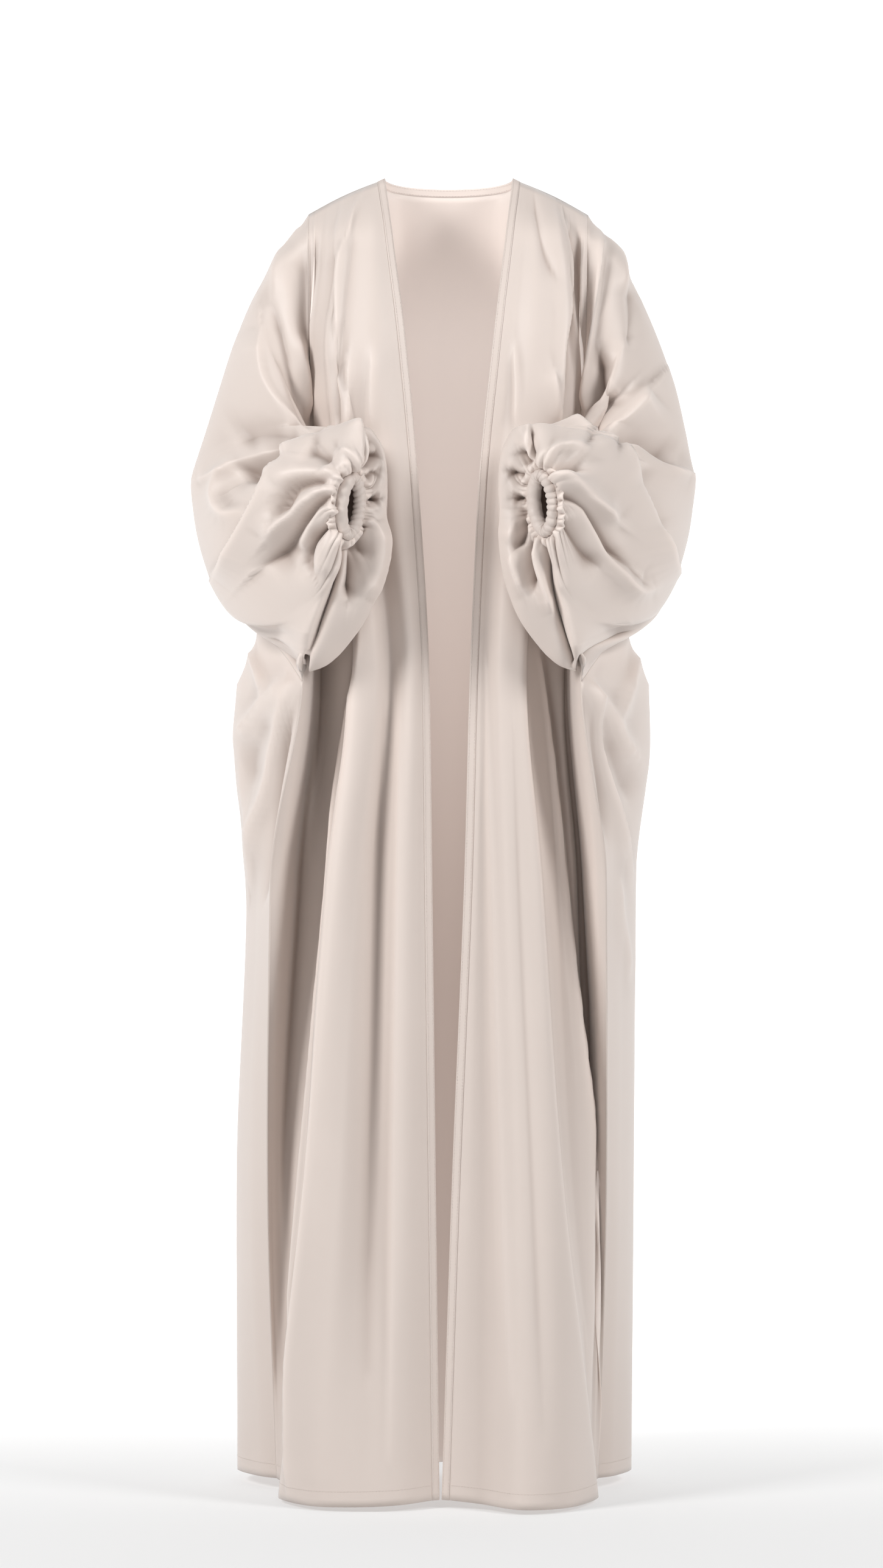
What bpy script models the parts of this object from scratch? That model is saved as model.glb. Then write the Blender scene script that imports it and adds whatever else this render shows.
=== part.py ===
"""Open-front abaya cloak in its worn, hollow form: no wearer, every opening empty.

Metres, +Z up, the garment's front towards -Y. The origin is midway between the
two points where the neckline meets the shoulder seams, which is where a wearer
carries the garment. X is counted outwards in the tables and mirrored by side.
"""

import math

import bpy
import numpy as np

# Driving dimensions
WALL = 0.0012
SEAM_GAP = 0.0003
BAND_WIDTH = 0.009
BAND_WALL = 0.0016
HEM_Z = -1.497
PINCH_Z = -0.5695
CHEST_Z = -0.075
CHEST_SHARE = 0.62
SHOULDER_ROUNDING = 0.003
CUFF_TUBE = 0.0055
CUFF_HALF_DEPTH = 0.0075
CUFF_WRINKLE = 0.88
CUFF_HALF_HEIGHT = 0.032
CUFF_HALF_WIDTH = 0.015
CUFF_TURN = math.radians(42)
CUFF_CLEAR = 0.0004
CUFF_LIP = (0.017, 0.004)

# Mesh density and evening
RELAX_STEPS = 3
EASE_STEPS = 60
EASED_SLEEVE_ROW = 3
NORMAL_STEPS = 24
SHARPEST_LEAN = 0.45
ROWS_ABOVE = 12
ROWS_BELOW = 12
NECK_COLUMNS = 16
SLEEVE_ROWS = 18
CUFF_SIDES = 8
GATHER_HEIGHT = 0.0025
GATHER_REACH = (0.66, 0.86, 0.95)

SIDES = {"left": -1.0, "right": 1.0}

# Shoulder seam and ring placement for each side: neck point x, shoulder point,
# pinch point and cuff centre.
SHOULDER = {
    "left": {"neck": (0.066, 0.0, 0.0), "tip": (0.148, 0.003, -0.037),
             "pinch": (0.156, -0.150, PINCH_Z), "cuff": (0.098, -0.212, -0.388)},
    "right": {"neck": (0.080, 0.0, 0.0), "tip": (0.160, 0.003, -0.038),
              "pinch": (0.154, -0.150, PINCH_Z), "cuff": (0.106, -0.212, -0.385)},
}
NECK_BACK = (0.055, -0.005)

# Each front is drawn by its fold lines, from the front edge to the side seam.
# A row holds the line's share of the columns and then (x, y) at each height.
HEIGHTS = (-0.20, -0.36, PINCH_Z, -0.80, -1.15, HEM_Z)
FRONT_LINES = {
    "left": (
        # name, columns, bust, cuff, pinch, hip, knee, hem
        ("edge", 2, (.041, -.095), (.027, -.112), (.015, -.115), (.012, -.108), (.008, -.092), (.004, -.074)),
        ("crest", 2, (.076, -.107), (.056, -.123), (.037, -.126), (.043, -.120), (.046, -.110), (.048, -.098)),
        ("trough", 2, (.111, -.098), (.083, -.112), (.058, -.112), (.072, -.104), (.076, -.098), (.090, -.102)),
        ("swell", 2, (.120, -.101), (.100, -.118), (.078, -.127), (.098, -.121), (.118, -.117), (.144, -.090)),
        ("ridge", 1, (.129, -.095), (.117, -.108), (.097, -.128), (.117, -.122), (.147, -.105), (.184, -.040)),
        ("turn", 2, (.133, -.082), (.123, -.092), (.099, -.104), (.119, -.098), (.146, -.080), (.187, -.018)),
        ("recess", 1, (.138, -.068), (.132, -.075), (.122, -.070), (.133, -.066), (.156, -.058), (.183, .004)),
        ("hollow", 1, (.142, -.058), (.139, -.062), (.137, -.048), (.152, -.042), (.171, -.030), (.181, .022)),
        ("corner", 1, (.145, -.053), (.143, -.056), (.141, -.060), (.162, -.034), (.180, -.016), (.182, .036)),
        ("pleat_edge", 1, (.147, -.051), (.146, -.054), (.146, -.098), (.170, -.070), (.186, -.019), (.185, .045)),
        ("pleat", 1, (.149, -.052), (.148, -.054), (.151, -.134), (.181, -.098), (.193, -.027), (.188, .052)),
        ("seam", 0, (.151, -.055), (.151, -.056), (.156, -.150), (.193, -.104), (.199, -.035), (.192, .058)),
    ),
    "right": (
        ("edge", 2, (.056, -.095), (.040, -.112), (.030, -.115), (.024, -.108), (.010, -.092), (-.001, -.074)),
        ("trough", 2, (.080, -.099), (.060, -.112), (.048, -.114), (.046, -.107), (.044, -.096), (.040, -.088)),
        ("crest", 2, (.102, -.106), (.078, -.122), (.064, -.129), (.072, -.126), (.084, -.122), (.088, -.122)),
        ("swell", 2, (.124, -.100), (.096, -.120), (.079, -.130), (.094, -.124), (.114, -.119), (.140, -.100)),
        ("ridge", 1, (.138, -.092), (.112, -.108), (.090, -.126), (.107, -.118), (.133, -.104), (.174, -.040)),
        ("turn", 2, (.142, -.078), (.118, -.092), (.092, -.102), (.109, -.094), (.133, -.080), (.177, -.018)),
        ("recess", 1, (.146, -.062), (.129, -.075), (.113, -.070), (.124, -.064), (.144, -.056), (.172, .002)),
        ("hollow", 1, (.151, -.056), (.140, -.060), (.135, -.058), (.150, -.050), (.162, -.036), (.169, .018)),
        ("corner", 1, (.155, -.050), (.146, -.054), (.139, -.052), (.156, -.034), (.168, -.016), (.170, .034)),
        ("pleat_edge", 1, (.158, -.050), (.150, -.052), (.144, -.096), (.161, -.070), (.174, -.017), (.173, .045)),
        ("pleat", 1, (.160, -.052), (.153, -.054), (.149, -.134), (.171, -.098), (.180, -.025), (.176, .053)),
        ("seam", 0, (.162, -.055), (.156, -.056), (.154, -.150), (.183, -.104), (.186, -.033), (.180, .060)),
    ),
}

# The back, from the side seam or armhole to the centre, as (x, y, z) columns.
BACK_ABOVE = {
    # share of the armhole: armhole, side, blade, neck, inner, centre
    0.25: ((.160, .085, -.165), (.138, .098, -.165), (.112, .105, -.160),
           (.080, .108, -.155), (.042, .110, -.150), (.0, .108, -.150)),
    0.50: ((.185, .108, -.310), (.160, .118, -.310), (.128, .120, -.305),
           (.092, .121, -.300), (.046, .122, -.300), (.0, .120, -.300)),
    0.75: ((.228, .055, -.455), (.212, .100, -.450), (.175, .125, -.445),
           (.125, .130, -.440), (.060, .132, -.440), (.0, .128, -.440)),
}
# The same columns below the pinch, as (x, y); the seam itself comes from the front.
BACK_BELOW = {
    "left": {
        PINCH_Z: ((.205, -.060), (.231, .020), (.195, .110), (.100, .140), (.0, .135)),
        -0.64: ((.212, -.055), (.240, .020), (.203, .112), (.102, .145), (.0, .139)),
        -0.80: ((.210, -.045), (.225, .035), (.192, .130), (.100, .155), (.0, .148)),
        -1.15: ((.222, .000), (.238, .070), (.200, .155), (.105, .185), (.0, .178)),
        HEM_Z: ((.213, .075), (.2405, .130), (.205, .185), (.110, .215), (.0, .205)),
    },
    "right": {
        PINCH_Z: ((.205, -.060), (.231, .020), (.195, .110), (.100, .140), (.0, .135)),
        -0.64: ((.211, -.055), (.238, .020), (.203, .112), (.102, .145), (.0, .139)),
        -0.80: ((.203, -.045), (.222, .035), (.190, .130), (.100, .155), (.0, .148)),
        -1.15: ((.203, .000), (.221, .070), (.190, .155), (.100, .185), (.0, .178)),
        HEM_Z: ((.198, .075), (.221, .130), (.192, .185), (.105, .215), (.0, .205)),
    },
}
BACK_FOLDS = 3.5
BACK_FOLD_DEPTH = 0.027
BACK_FOLD_TOP = -0.16
BACK_FOLD_SWAY = 0.4

# The sleeve is drawn by eight lines that run from the armhole to the cuff, and a
# row holds each line's points at the stations between the two.
SLEEVE_STATIONS = (0.0, 0.16, 0.32, 0.46, 0.62, 0.80, 0.93, 1.0)
SLEEVE_LINES = (
    # name, upper arm, above elbow, elbow, forearm, crest
    ("overarm", (.222, .004, -.146), (.271, .002, -.262), (.286, -.012, -.338),
     (.212, -.100, -.322), (.091, -.190, -.293)),
    ("front", (.198, -.068, -.200), (.196, -.088, -.252), (.180, -.104, -.290),
     (.128, -.140, -.296), (.066, -.188, -.316)),
    ("inner", (.142, -.085, -.330), (.130, -.108, -.350), (.113, -.124, -.366),
     (.088, -.142, -.372), (.060, -.182, -.378)),
    ("inner_low", (.143, -.100, -.450), (.134, -.120, -.470), (.120, -.135, -.488),
     (.102, -.152, -.492), (.074, -.180, -.462)),
    ("underarm", (.154, -.169, -.553), (.150, -.176, -.541), (.145, -.181, -.530),
     (.136, -.189, -.510), (.121, -.199, -.478)),
    ("back_low", (.240, .012, -.488), (.244, -.020, -.496), (.236, -.060, -.506),
     (.208, -.124, -.514), (.154, -.188, -.484)),
    ("outer", (.238, .088, -.360), (.268, .055, -.415), (.272, .004, -.446),
     (.240, -.094, -.456), (.184, -.176, -.424)),
    ("back", (.215, .082, -.205), (.262, .066, -.295), (.288, .024, -.385),
     (.258, -.070, -.385), (.186, -.164, -.350)),
)

# The largest drag folds, each along a path seen from the front, in the plane of the
# shoulders. Height is along the cloth's outward normal, so a trough has a minus.
VIEW_DISTANCE = 5.0
VIEW_HEIGHT = -0.693
FOLDS = (
    # piece, height, half width, path of (x outwards, z)
    ("sleeve_left", -.012, .017, ((.172, -.280), (.188, -.298), (.204, -.330), (.226, -.385), (.243, -.425))),
    ("sleeve_left", .007, .018, ((.156, -.318), (.176, -.345), (.192, -.384), (.214, -.424))),
    ("sleeve_left", -.009, .015, ((.206, -.115), (.207, -.200), (.196, -.240), (.160, -.284))),
    ("sleeve_left", .008, .017, ((.183, -.115), (.180, -.180), (.170, -.235))),
    ("sleeve_left", -.008, .014, ((.262, -.250), (.236, -.290), (.196, -.312))),
    ("sleeve_right", -.012, .017, ((.172, -.280), (.196, -.300), (.222, -.334), (.246, -.385), (.258, -.425))),
    ("sleeve_right", .007, .018, ((.156, -.318), (.188, -.342), (.208, -.378), (.230, -.424))),
    ("sleeve_right", -.009, .015, ((.182, -.075), (.206, -.130), (.211, -.200), (.190, -.260))),
    ("sleeve_right", .008, .016, ((.172, -.120), (.180, -.180), (.174, -.235))),
    ("sleeve_right", -.008, .014, ((.240, -.232), (.224, -.248), (.180, -.290))),
    ("front_left", -.006, .015, ((.104, -.040), (.108, -.120), (.112, -.240))),
    ("front_right", -.007, .014, ((.098, -.020), (.112, -.070), (.128, -.130))),
)

CLOTH = {"color": (0.80, 0.73, 0.69, 1.0), "roughness": 0.55}


def slopes(knots, values):
    """Slopes at the knots that keep a curve from overshooting its values."""
    step = np.diff(knots)[:, None]
    rise = np.diff(values, axis=0) / step
    inner = np.where(
        rise[:-1] * rise[1:] > 0,
        (step[:-1] + step[1:]) * rise[:-1] * rise[1:]
        / np.where(np.abs(step[1:] * rise[:-1] + step[:-1] * rise[1:]) < 1e-12, 1.0,
                   step[1:] * rise[:-1] + step[:-1] * rise[1:]),
        0.0,
    )
    return np.concatenate([rise[:1], inner, rise[-1:]])


def curve_at(knots, values, at):
    """The points at the given places of a smooth curve through values at knots."""
    knots, values = np.asarray(knots, float), np.asarray(values, float)
    if knots[0] > knots[-1]:
        knots, values = knots[::-1], values[::-1]
    flat = values.reshape(len(knots), -1)
    tangent = slopes(knots, flat)
    at = np.clip(np.atleast_1d(np.asarray(at, float)), knots[0], knots[-1])
    i = np.clip(np.searchsorted(knots, at, side="right") - 1, 0, len(knots) - 2)
    width = (knots[i + 1] - knots[i])[:, None]
    t = (at - knots[i])[:, None] / width
    made = ((2 * t**3 - 3 * t**2 + 1) * flat[i] + (t**3 - 2 * t**2 + t) * width * tangent[i]
            + (3 * t**2 - 2 * t**3) * flat[i + 1] + (t**3 - t**2) * width * tangent[i + 1])
    return made.reshape((len(at),) + values.shape[1:])


def through(points, places, closed=False):
    """Points at fractional places, counted in points, on a rounded curve through points."""
    points = np.asarray(points, float)
    count = len(points)
    if closed:
        points = np.concatenate([points[-2:], points, points[:3]])
    else:
        points = np.concatenate([points[:1] * 2 - points[1:2], points, points[-1:] * 2 - points[-2:-1]])
    lead = 2 if closed else 1
    gap = np.maximum(np.sqrt(np.linalg.norm(np.diff(points, axis=0), axis=-1, keepdims=True)), 1e-4)
    rise = np.diff(points, axis=0) / gap
    tangent = (rise[:-1] * gap[1:] + rise[1:] * gap[:-1]) / (gap[:-1] + gap[1:])
    places = np.asarray(places, float)
    i = np.floor(places).astype(int)
    i = i % count if closed else np.minimum(i, count - 2)
    t = (places - (np.floor(places) if closed else i)).reshape((-1,) + (1,) * (points.ndim - 1))
    k = i + lead
    return ((2 * t**3 - 3 * t**2 + 1) * points[k] + (t**3 - 2 * t**2 + t) * gap[k] * tangent[k - 1]
            + (3 * t**2 - 2 * t**3) * points[k + 1] + (t**3 - t**2) * gap[k] * tangent[k])


def unit(v):
    return v / np.maximum(np.linalg.norm(v, axis=-1, keepdims=True), 1e-12)


def column_places(side, per_column):
    """Where each mesh column lies, counted in fold lines, for a number of columns a share."""
    places = []
    for k, row in enumerate(FRONT_LINES[side][:-1]):
        steps = row[1] * per_column
        places += [k + n / steps for n in range(steps)]
    return np.array(places + [len(FRONT_LINES[side]) - 1.0])


def shoulder_seam(side, share):
    """Points on the shoulder seam, from the band (0) to the shoulder point (1)."""
    neck, tip = np.array(SHOULDER[side]["neck"]), np.array(SHOULDER[side]["tip"])
    start = neck + unit(tip - neck) * BAND_WIDTH
    share = np.asarray(share, float)[:, None]
    rounding = np.array([0.0, 0.0, SHOULDER_ROUNDING]) * np.sin(math.pi * share)
    return start + (tip - start) * share + rounding


def front_grid(side, per_column, rows_above, rows_below):
    """The front's middle surface, rows from the shoulder to the hem, and its edge line."""
    places = column_places(side, per_column)
    lines = [row[2:] for row in FRONT_LINES[side]]
    top = shoulder_seam(side, np.linspace(0, 1, len(places)))
    neck = np.array(SHOULDER[side]["neck"])
    line_top = curve_at(places, top, np.arange(len(lines)))
    line_top[0] = neck
    rows = np.concatenate([np.linspace(0, 1, rows_above + 1), 1 + np.linspace(0, 1, rows_below + 1)[1:]])
    grid = []
    for row in rows:
        points = []
        for k, line in enumerate(lines):
            z = line_top[k][2] + (PINCH_Z - line_top[k][2]) * row if row <= 1 \
                else PINCH_Z + (HEM_Z - PINCH_Z) * (row - 1)
            bust = np.array(line[0])
            chest = line_top[k][0] + (bust[0] - line_top[k][0]) * (1 - CHEST_SHARE), bust[1] * CHEST_SHARE
            knots = (line_top[k][2], CHEST_Z) + HEIGHTS
            x, y = curve_at(knots, [line_top[k][:2], chest, *line], [z])[0]
            points.append((x, y, z))
        points = np.array(points)
        edge = points[0].copy()
        points[0] = edge + unit(points[1] - edge) * BAND_WIDTH
        grid.append((edge, through(points, places)))
    edges = np.array([edge for edge, _ in grid])
    surface = np.array([points for _, points in grid])
    surface[0] = top
    edges[0] = neck
    return surface, edges


def neck_curve(count):
    """The back neckline's edge, left neck point to right, and the line a band's width below it."""
    left = np.array(SHOULDER["left"]["neck"]) * (-1, 1, 1)
    right = np.array(SHOULDER["right"]["neck"])
    share = np.linspace(0, 1, count + 1)[:, None]
    across = 0.5 - 0.5 * np.cos(math.pi * share)
    edge = left + (right - left) * across
    edge[:, 1:2] = NECK_BACK[0] * np.sin(math.pi * share) ** 0.8
    edge[:, 2:3] = NECK_BACK[1] * np.sin(math.pi * share)
    down = np.array([0.0, 0.25, -0.97])
    out_left = unit(np.array(SHOULDER["left"]["tip"]) * (-1, 1, 1) - left)
    out_right = unit(np.array(SHOULDER["right"]["tip"]) - right)
    blend = np.clip(np.sin(math.pi * share) * 1.3 - 0.1, 0, 1)
    out = np.where(share < 0.5, out_left, out_right)
    inset = edge + unit(down * blend + out * (1 - blend)) * BAND_WIDTH
    return edge, inset


def back_line(side, seams, share, neck_line):
    """The six points from the armhole or seam to the centre back at one row."""
    sign = SIDES[side]
    shares = (0.25, 0.50, 0.75)
    columns = []
    for k in range(6):
        above = [BACK_ABOVE[s][k] for s in shares]
        if k == 0:
            above = [SHOULDER[side]["tip"]] + above + [SHOULDER[side]["pinch"]]
        else:
            x, y = BACK_BELOW[side][PINCH_Z][k - 1]
            above = [neck_line[k]] + above + [(x, y, PINCH_Z)]
        if share <= 1:
            columns.append(curve_at((0, 0.25, 0.5, 0.75, 1), above, [share])[0])
        elif k == 0:
            columns.append(seams)
        else:
            z = PINCH_Z + (HEM_Z - PINCH_Z) * (share - 1)
            heights = tuple(BACK_BELOW[side])
            x, y = curve_at(heights, [BACK_BELOW[side][h][k - 1] for h in heights], [z])[0]
            columns.append(np.array((x, y, z)))
    return np.array(columns) * (sign, 1, 1)


def back_grid(seam_lines, shoulder_columns, neck_columns, rows_above, rows_below):
    """The back's middle surface, rows from the shoulders and neck to the hem."""
    _, neck = neck_curve(neck_columns)
    place = np.concatenate([
        np.linspace(0, 3, shoulder_columns + 1),
        3 + np.linspace(0, 4, neck_columns + 1)[1:],
        7 + np.linspace(0, 3, shoulder_columns + 1)[1:],
    ])
    tops = {}
    for side, sign in SIDES.items():
        seam = shoulder_seam(side, [1, 2 / 3, 1 / 3, 0])
        along = neck if side == "left" else neck[::-1]
        middle = [along[neck_columns // 4], along[neck_columns // 2]]
        tops[side] = np.concatenate([seam, np.array(middle) * (sign, 1, 1)])
    rows = np.concatenate([np.linspace(0, 1, rows_above + 1), 1 + np.linspace(0, 1, rows_below + 1)[1:]])
    grid = []
    for n, share in enumerate(rows):
        sides = {side: back_line(side, seam_lines[side][n], share, tops[side]) for side in SIDES}
        line = np.concatenate([sides["left"], sides["right"][::-1][1:]])
        points = through(line, np.clip(place, 0, 10))
        z = points[:, 2]
        strength = BACK_FOLD_DEPTH * np.clip((BACK_FOLD_TOP - z) / (BACK_FOLD_TOP - HEM_Z), 0, 1) ** 0.8
        inside = np.clip(place - 2, 0, 1) * np.clip(8 - place, 0, 1)
        turns = (place - 2) / 6 * BACK_FOLDS
        wave = np.sin(2 * math.pi * turns + BACK_FOLD_SWAY * np.sin(1.7 * place))
        points[:, 1] += strength * inside * wave
        grid.append(points)
    surface = np.array(grid)
    left_seam = shoulder_seam("left", np.linspace(1, 0, shoulder_columns + 1)) * (-1, 1, 1)
    right_seam = shoulder_seam("right", np.linspace(0, 1, shoulder_columns + 1))
    surface[0] = np.concatenate([left_seam, neck[1:-1], right_seam])
    return surface


def ring_frame(side):
    """The cuff's centre and its two in-plane directions, upwards and outwards, and its axis."""
    centre = np.array(SHOULDER[side]["cuff"])
    up = unit(np.array([-0.10, 0.0, 1.0]))
    out = unit(np.array([math.cos(CUFF_TURN), -math.sin(CUFF_TURN), 0.05]))
    axis = unit(np.cross(up, out))
    return centre, up, out, axis if axis[1] < 0 else -axis


def ring_points(side, angle, grow=0.0):
    """Points on the cuff's own centre line, moved outwards in its plane by grow."""
    centre, up, out, _ = ring_frame(side)
    angle = np.asarray(angle, float)[..., None]
    upward = CUFF_HALF_HEIGHT * np.cos(angle) * up
    sideways = -CUFF_HALF_WIDTH * np.sin(angle) * out
    normal = unit(np.cos(angle) / CUFF_HALF_HEIGHT * up - np.sin(angle) / CUFF_HALF_WIDTH * out)
    return centre + upward + sideways + normal * grow


def sleeve_grid(side, armhole, rows):
    """The sleeve's middle surface, rows from the armhole loop to the cuff, one column a loop point.

    The loop starts at the shoulder point and runs down the front, past the pinch
    and up the back.
    """
    around = len(armhole)
    places = np.arange(around) * len(SLEEVE_LINES) / around
    angle = np.arange(around) * 2 * math.pi / around
    corner = (np.arange(len(SLEEVE_LINES)) * around) // len(SLEEVE_LINES)
    ring = ring_points(side, angle, CUFF_TUBE + CUFF_CLEAR)
    lip = ring_points(side, angle, CUFF_LIP[0]) + ring_frame(side)[3] * CUFF_LIP[1]
    net = []
    for k, line in enumerate(SLEEVE_LINES):
        net.append([armhole[corner[k]], *line[1:], lip[corner[k]], ring[corner[k]]])
    net = np.array(net)
    stations = np.linspace(0, 1, rows + 1)
    along = np.array([curve_at(SLEEVE_STATIONS, line, stations) for line in net])
    surface = np.array([through(along[:, n], places, closed=True) for n in range(rows + 1)])
    start, end = armhole - surface[0], ring - surface[-1]
    for n, s in enumerate(stations):
        surface[n] += start * np.clip(1 - s / 0.30, 0, 1) ** 2
        surface[n] += end * np.clip(1 - (1 - s) / 0.10, 0, 1) ** 2
    for _ in range(RELAX_STEPS):
        sides = np.roll(surface, 1, axis=1) + np.roll(surface, -1, axis=1)
        even = (surface[1:-1] * 2 + (sides[1:-1] + surface[:-2] + surface[2:]) / 2) / 4
        share = np.clip((stations[1:-1] - 0.15) / 0.2, 0, 1) * np.clip((0.95 - stations[1:-1]) / 0.1, 0, 1)
        surface[1:-1] += (even - surface[1:-1]) * share[:, None, None]
    return surface, stations, angle


def facet_fans(grid, closed=False):
    """For each point of a grid, the unit normals of the four facets that may meet there, or zeros."""
    if closed:
        grid = np.concatenate([grid[:, -1:], grid, grid[:, :1]], axis=1)
    fans = np.zeros((4,) + grid.shape)
    corners = ((slice(None, -1), slice(None, -1)), (slice(1, None), slice(None, -1)),
               (slice(1, None), slice(1, None)), (slice(None, -1), slice(1, None)))
    for k, here in enumerate(corners):
        after, before = grid[corners[(k + 1) % 4]], grid[corners[k - 1]]
        fans[k][here] = unit(np.cross(after - grid[here], before - grid[here]))
    return fans[:, :, 1:-1] if closed else fans


def standing_off(fans):
    """The direction that stands off every facet of a fan as evenly as it can."""
    made = unit(fans.sum(0))
    present = np.linalg.norm(fans, axis=-1) > 0.5
    for step in range(NORMAL_STEPS):
        lean = np.where(present, (fans * made).sum(-1), 2.0)
        least = np.take_along_axis(fans, lean.argmin(0)[None, ..., None], axis=0)[0]
        made = unit(made + least * (0.5 / (step + 1)))
    return made


def eased(grid, closed=False, first_row=1):
    """Smooths the few inner points where the surface turns too sharply for its wall."""
    for _ in range(EASE_STEPS):
        fans = facet_fans(grid, closed)
        lean = np.where(np.linalg.norm(fans, axis=-1) > 0.5, (fans * standing_off(fans)).sum(-1), 1.0)
        sharp = lean.min(0) < SHARPEST_LEAN
        sharp[:first_row] = False
        sharp[-1] = False
        if not closed:
            sharp[:, [0, -1]] = False
        if not sharp.any():
            break
        around = (np.roll(grid, 1, axis=1) + np.roll(grid, -1, axis=1)
                  + np.roll(grid, 1, axis=0) + np.roll(grid, -1, axis=0)) / 4
        grid = np.where(sharp[..., None], (grid + around) / 2, grid)
    return grid


def gathered(surface, stations, angle, normals):
    """Raises a gather on every other column, from the cuff over the sleeve's front."""
    start, full, end = GATHER_REACH
    strength = np.clip((stations - start) / (full - start), 0, 1) * np.clip((1 - stations) / (1 - end), 0, 1)
    wave = np.where(np.arange(len(angle)) % 2 == 0, 1.0, -1.0)
    return surface + normals * (GATHER_HEIGHT * strength[:, None] * wave[None, :])[..., None]


def folded(name, side, surface, normals):
    """Moves the surface in and out along the drag folds that the table gives for a piece."""
    nearness = VIEW_DISTANCE / (VIEW_DISTANCE + surface[..., 1])
    seen = np.stack([surface[..., 0] * SIDES[side] * nearness,
                     VIEW_HEIGHT + (surface[..., 2] - VIEW_HEIGHT) * nearness], axis=-1)
    facing = np.clip(-normals[..., 1] * 2, 0, 1)
    moved = np.zeros(surface.shape[:2])
    for piece, height, half_width, path in FOLDS:
        if piece != name:
            continue
        path = np.array(path)
        nearest = np.full(surface.shape[:2], 1.0)
        along = np.zeros(surface.shape[:2])
        reach = np.concatenate([[0.0], np.cumsum(np.linalg.norm(np.diff(path, axis=0), axis=1))])
        for k in range(len(path) - 1):
            run = path[k + 1] - path[k]
            t = np.clip(((seen - path[k]) @ run) / (run @ run), 0, 1)
            far = np.linalg.norm(seen - path[k] - t[..., None] * run, axis=-1)
            along = np.where(far < nearest, (reach[k] + t * (reach[k + 1] - reach[k])) / reach[-1], along)
            nearest = np.minimum(far, nearest)
        fade = np.sin(math.pi * (0.12 + 0.76 * along))
        moved += height * fade * np.exp(-(nearest / half_width) ** 2)
    moved[[0, -1]] = 0
    if name.startswith("front"):
        moved[:, [0, -1]] = 0
    return surface + normals * (moved * facing)[..., None]


def boundary(shape, closed):
    rows, columns = shape[:2]
    mask = np.zeros((rows, columns), bool)
    mask[[0, -1], :] = True
    if not closed:
        mask[:, [0, -1]] = True
    return mask


def share_normals(panels):
    """Gives points that several panels share one normal, so that their edges face each other."""
    groups = {}
    for panel in panels:
        flip = 1.0 if (panel["fans"].sum(0) * panel["normals"]).sum() > 0 else -1.0
        panel["fans"] = panel["fans"] * flip
    for panel in panels:
        for i, j in zip(*np.nonzero(boundary(panel["grid"].shape, panel["closed"]))):
            key = tuple(np.round(panel["grid"][i, j] * 20000).astype(int))
            groups.setdefault(key, []).append((panel, i, j))
    for members in groups.values():
        total = standing_off(np.concatenate([panel["fans"][:, i, j] for panel, i, j in members]))
        for panel, i, j in members:
            panel["normals"][i, j] = total


def pulled_back(panel):
    """The panel's grid with its edges moved in by half a seam gap."""
    grid, normals = panel["grid"], panel["normals"]
    made = grid.copy()
    half = SEAM_GAP / 2
    edges = [(0, 1, True), (-1, -2, True)]
    if not panel["closed"]:
        edges += [(0, 1, False), (-1, -2, False)]
    for edge, inner, is_row in edges:
        step = 2 if is_row and edge == 0 and panel["sparse_top"] else 1
        line = (grid[edge] if is_row else grid[:, edge])[::step]
        inward = (grid[inner] if is_row else grid[:, inner])[::step] - line
        normal = (normals[edge] if is_row else normals[:, edge])[::step]
        if is_row and panel["closed"]:
            tangent = np.roll(line, -1, axis=0) - np.roll(line, 1, axis=0)
        else:
            tangent = np.gradient(line, axis=0)
        side = unit(np.cross(unit(tangent), normal))
        side *= np.sign((side * inward).sum(-1, keepdims=True))
        if is_row:
            made[edge, ::step] += side * half
        else:
            made[:, edge] += side * half
    return made


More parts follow.
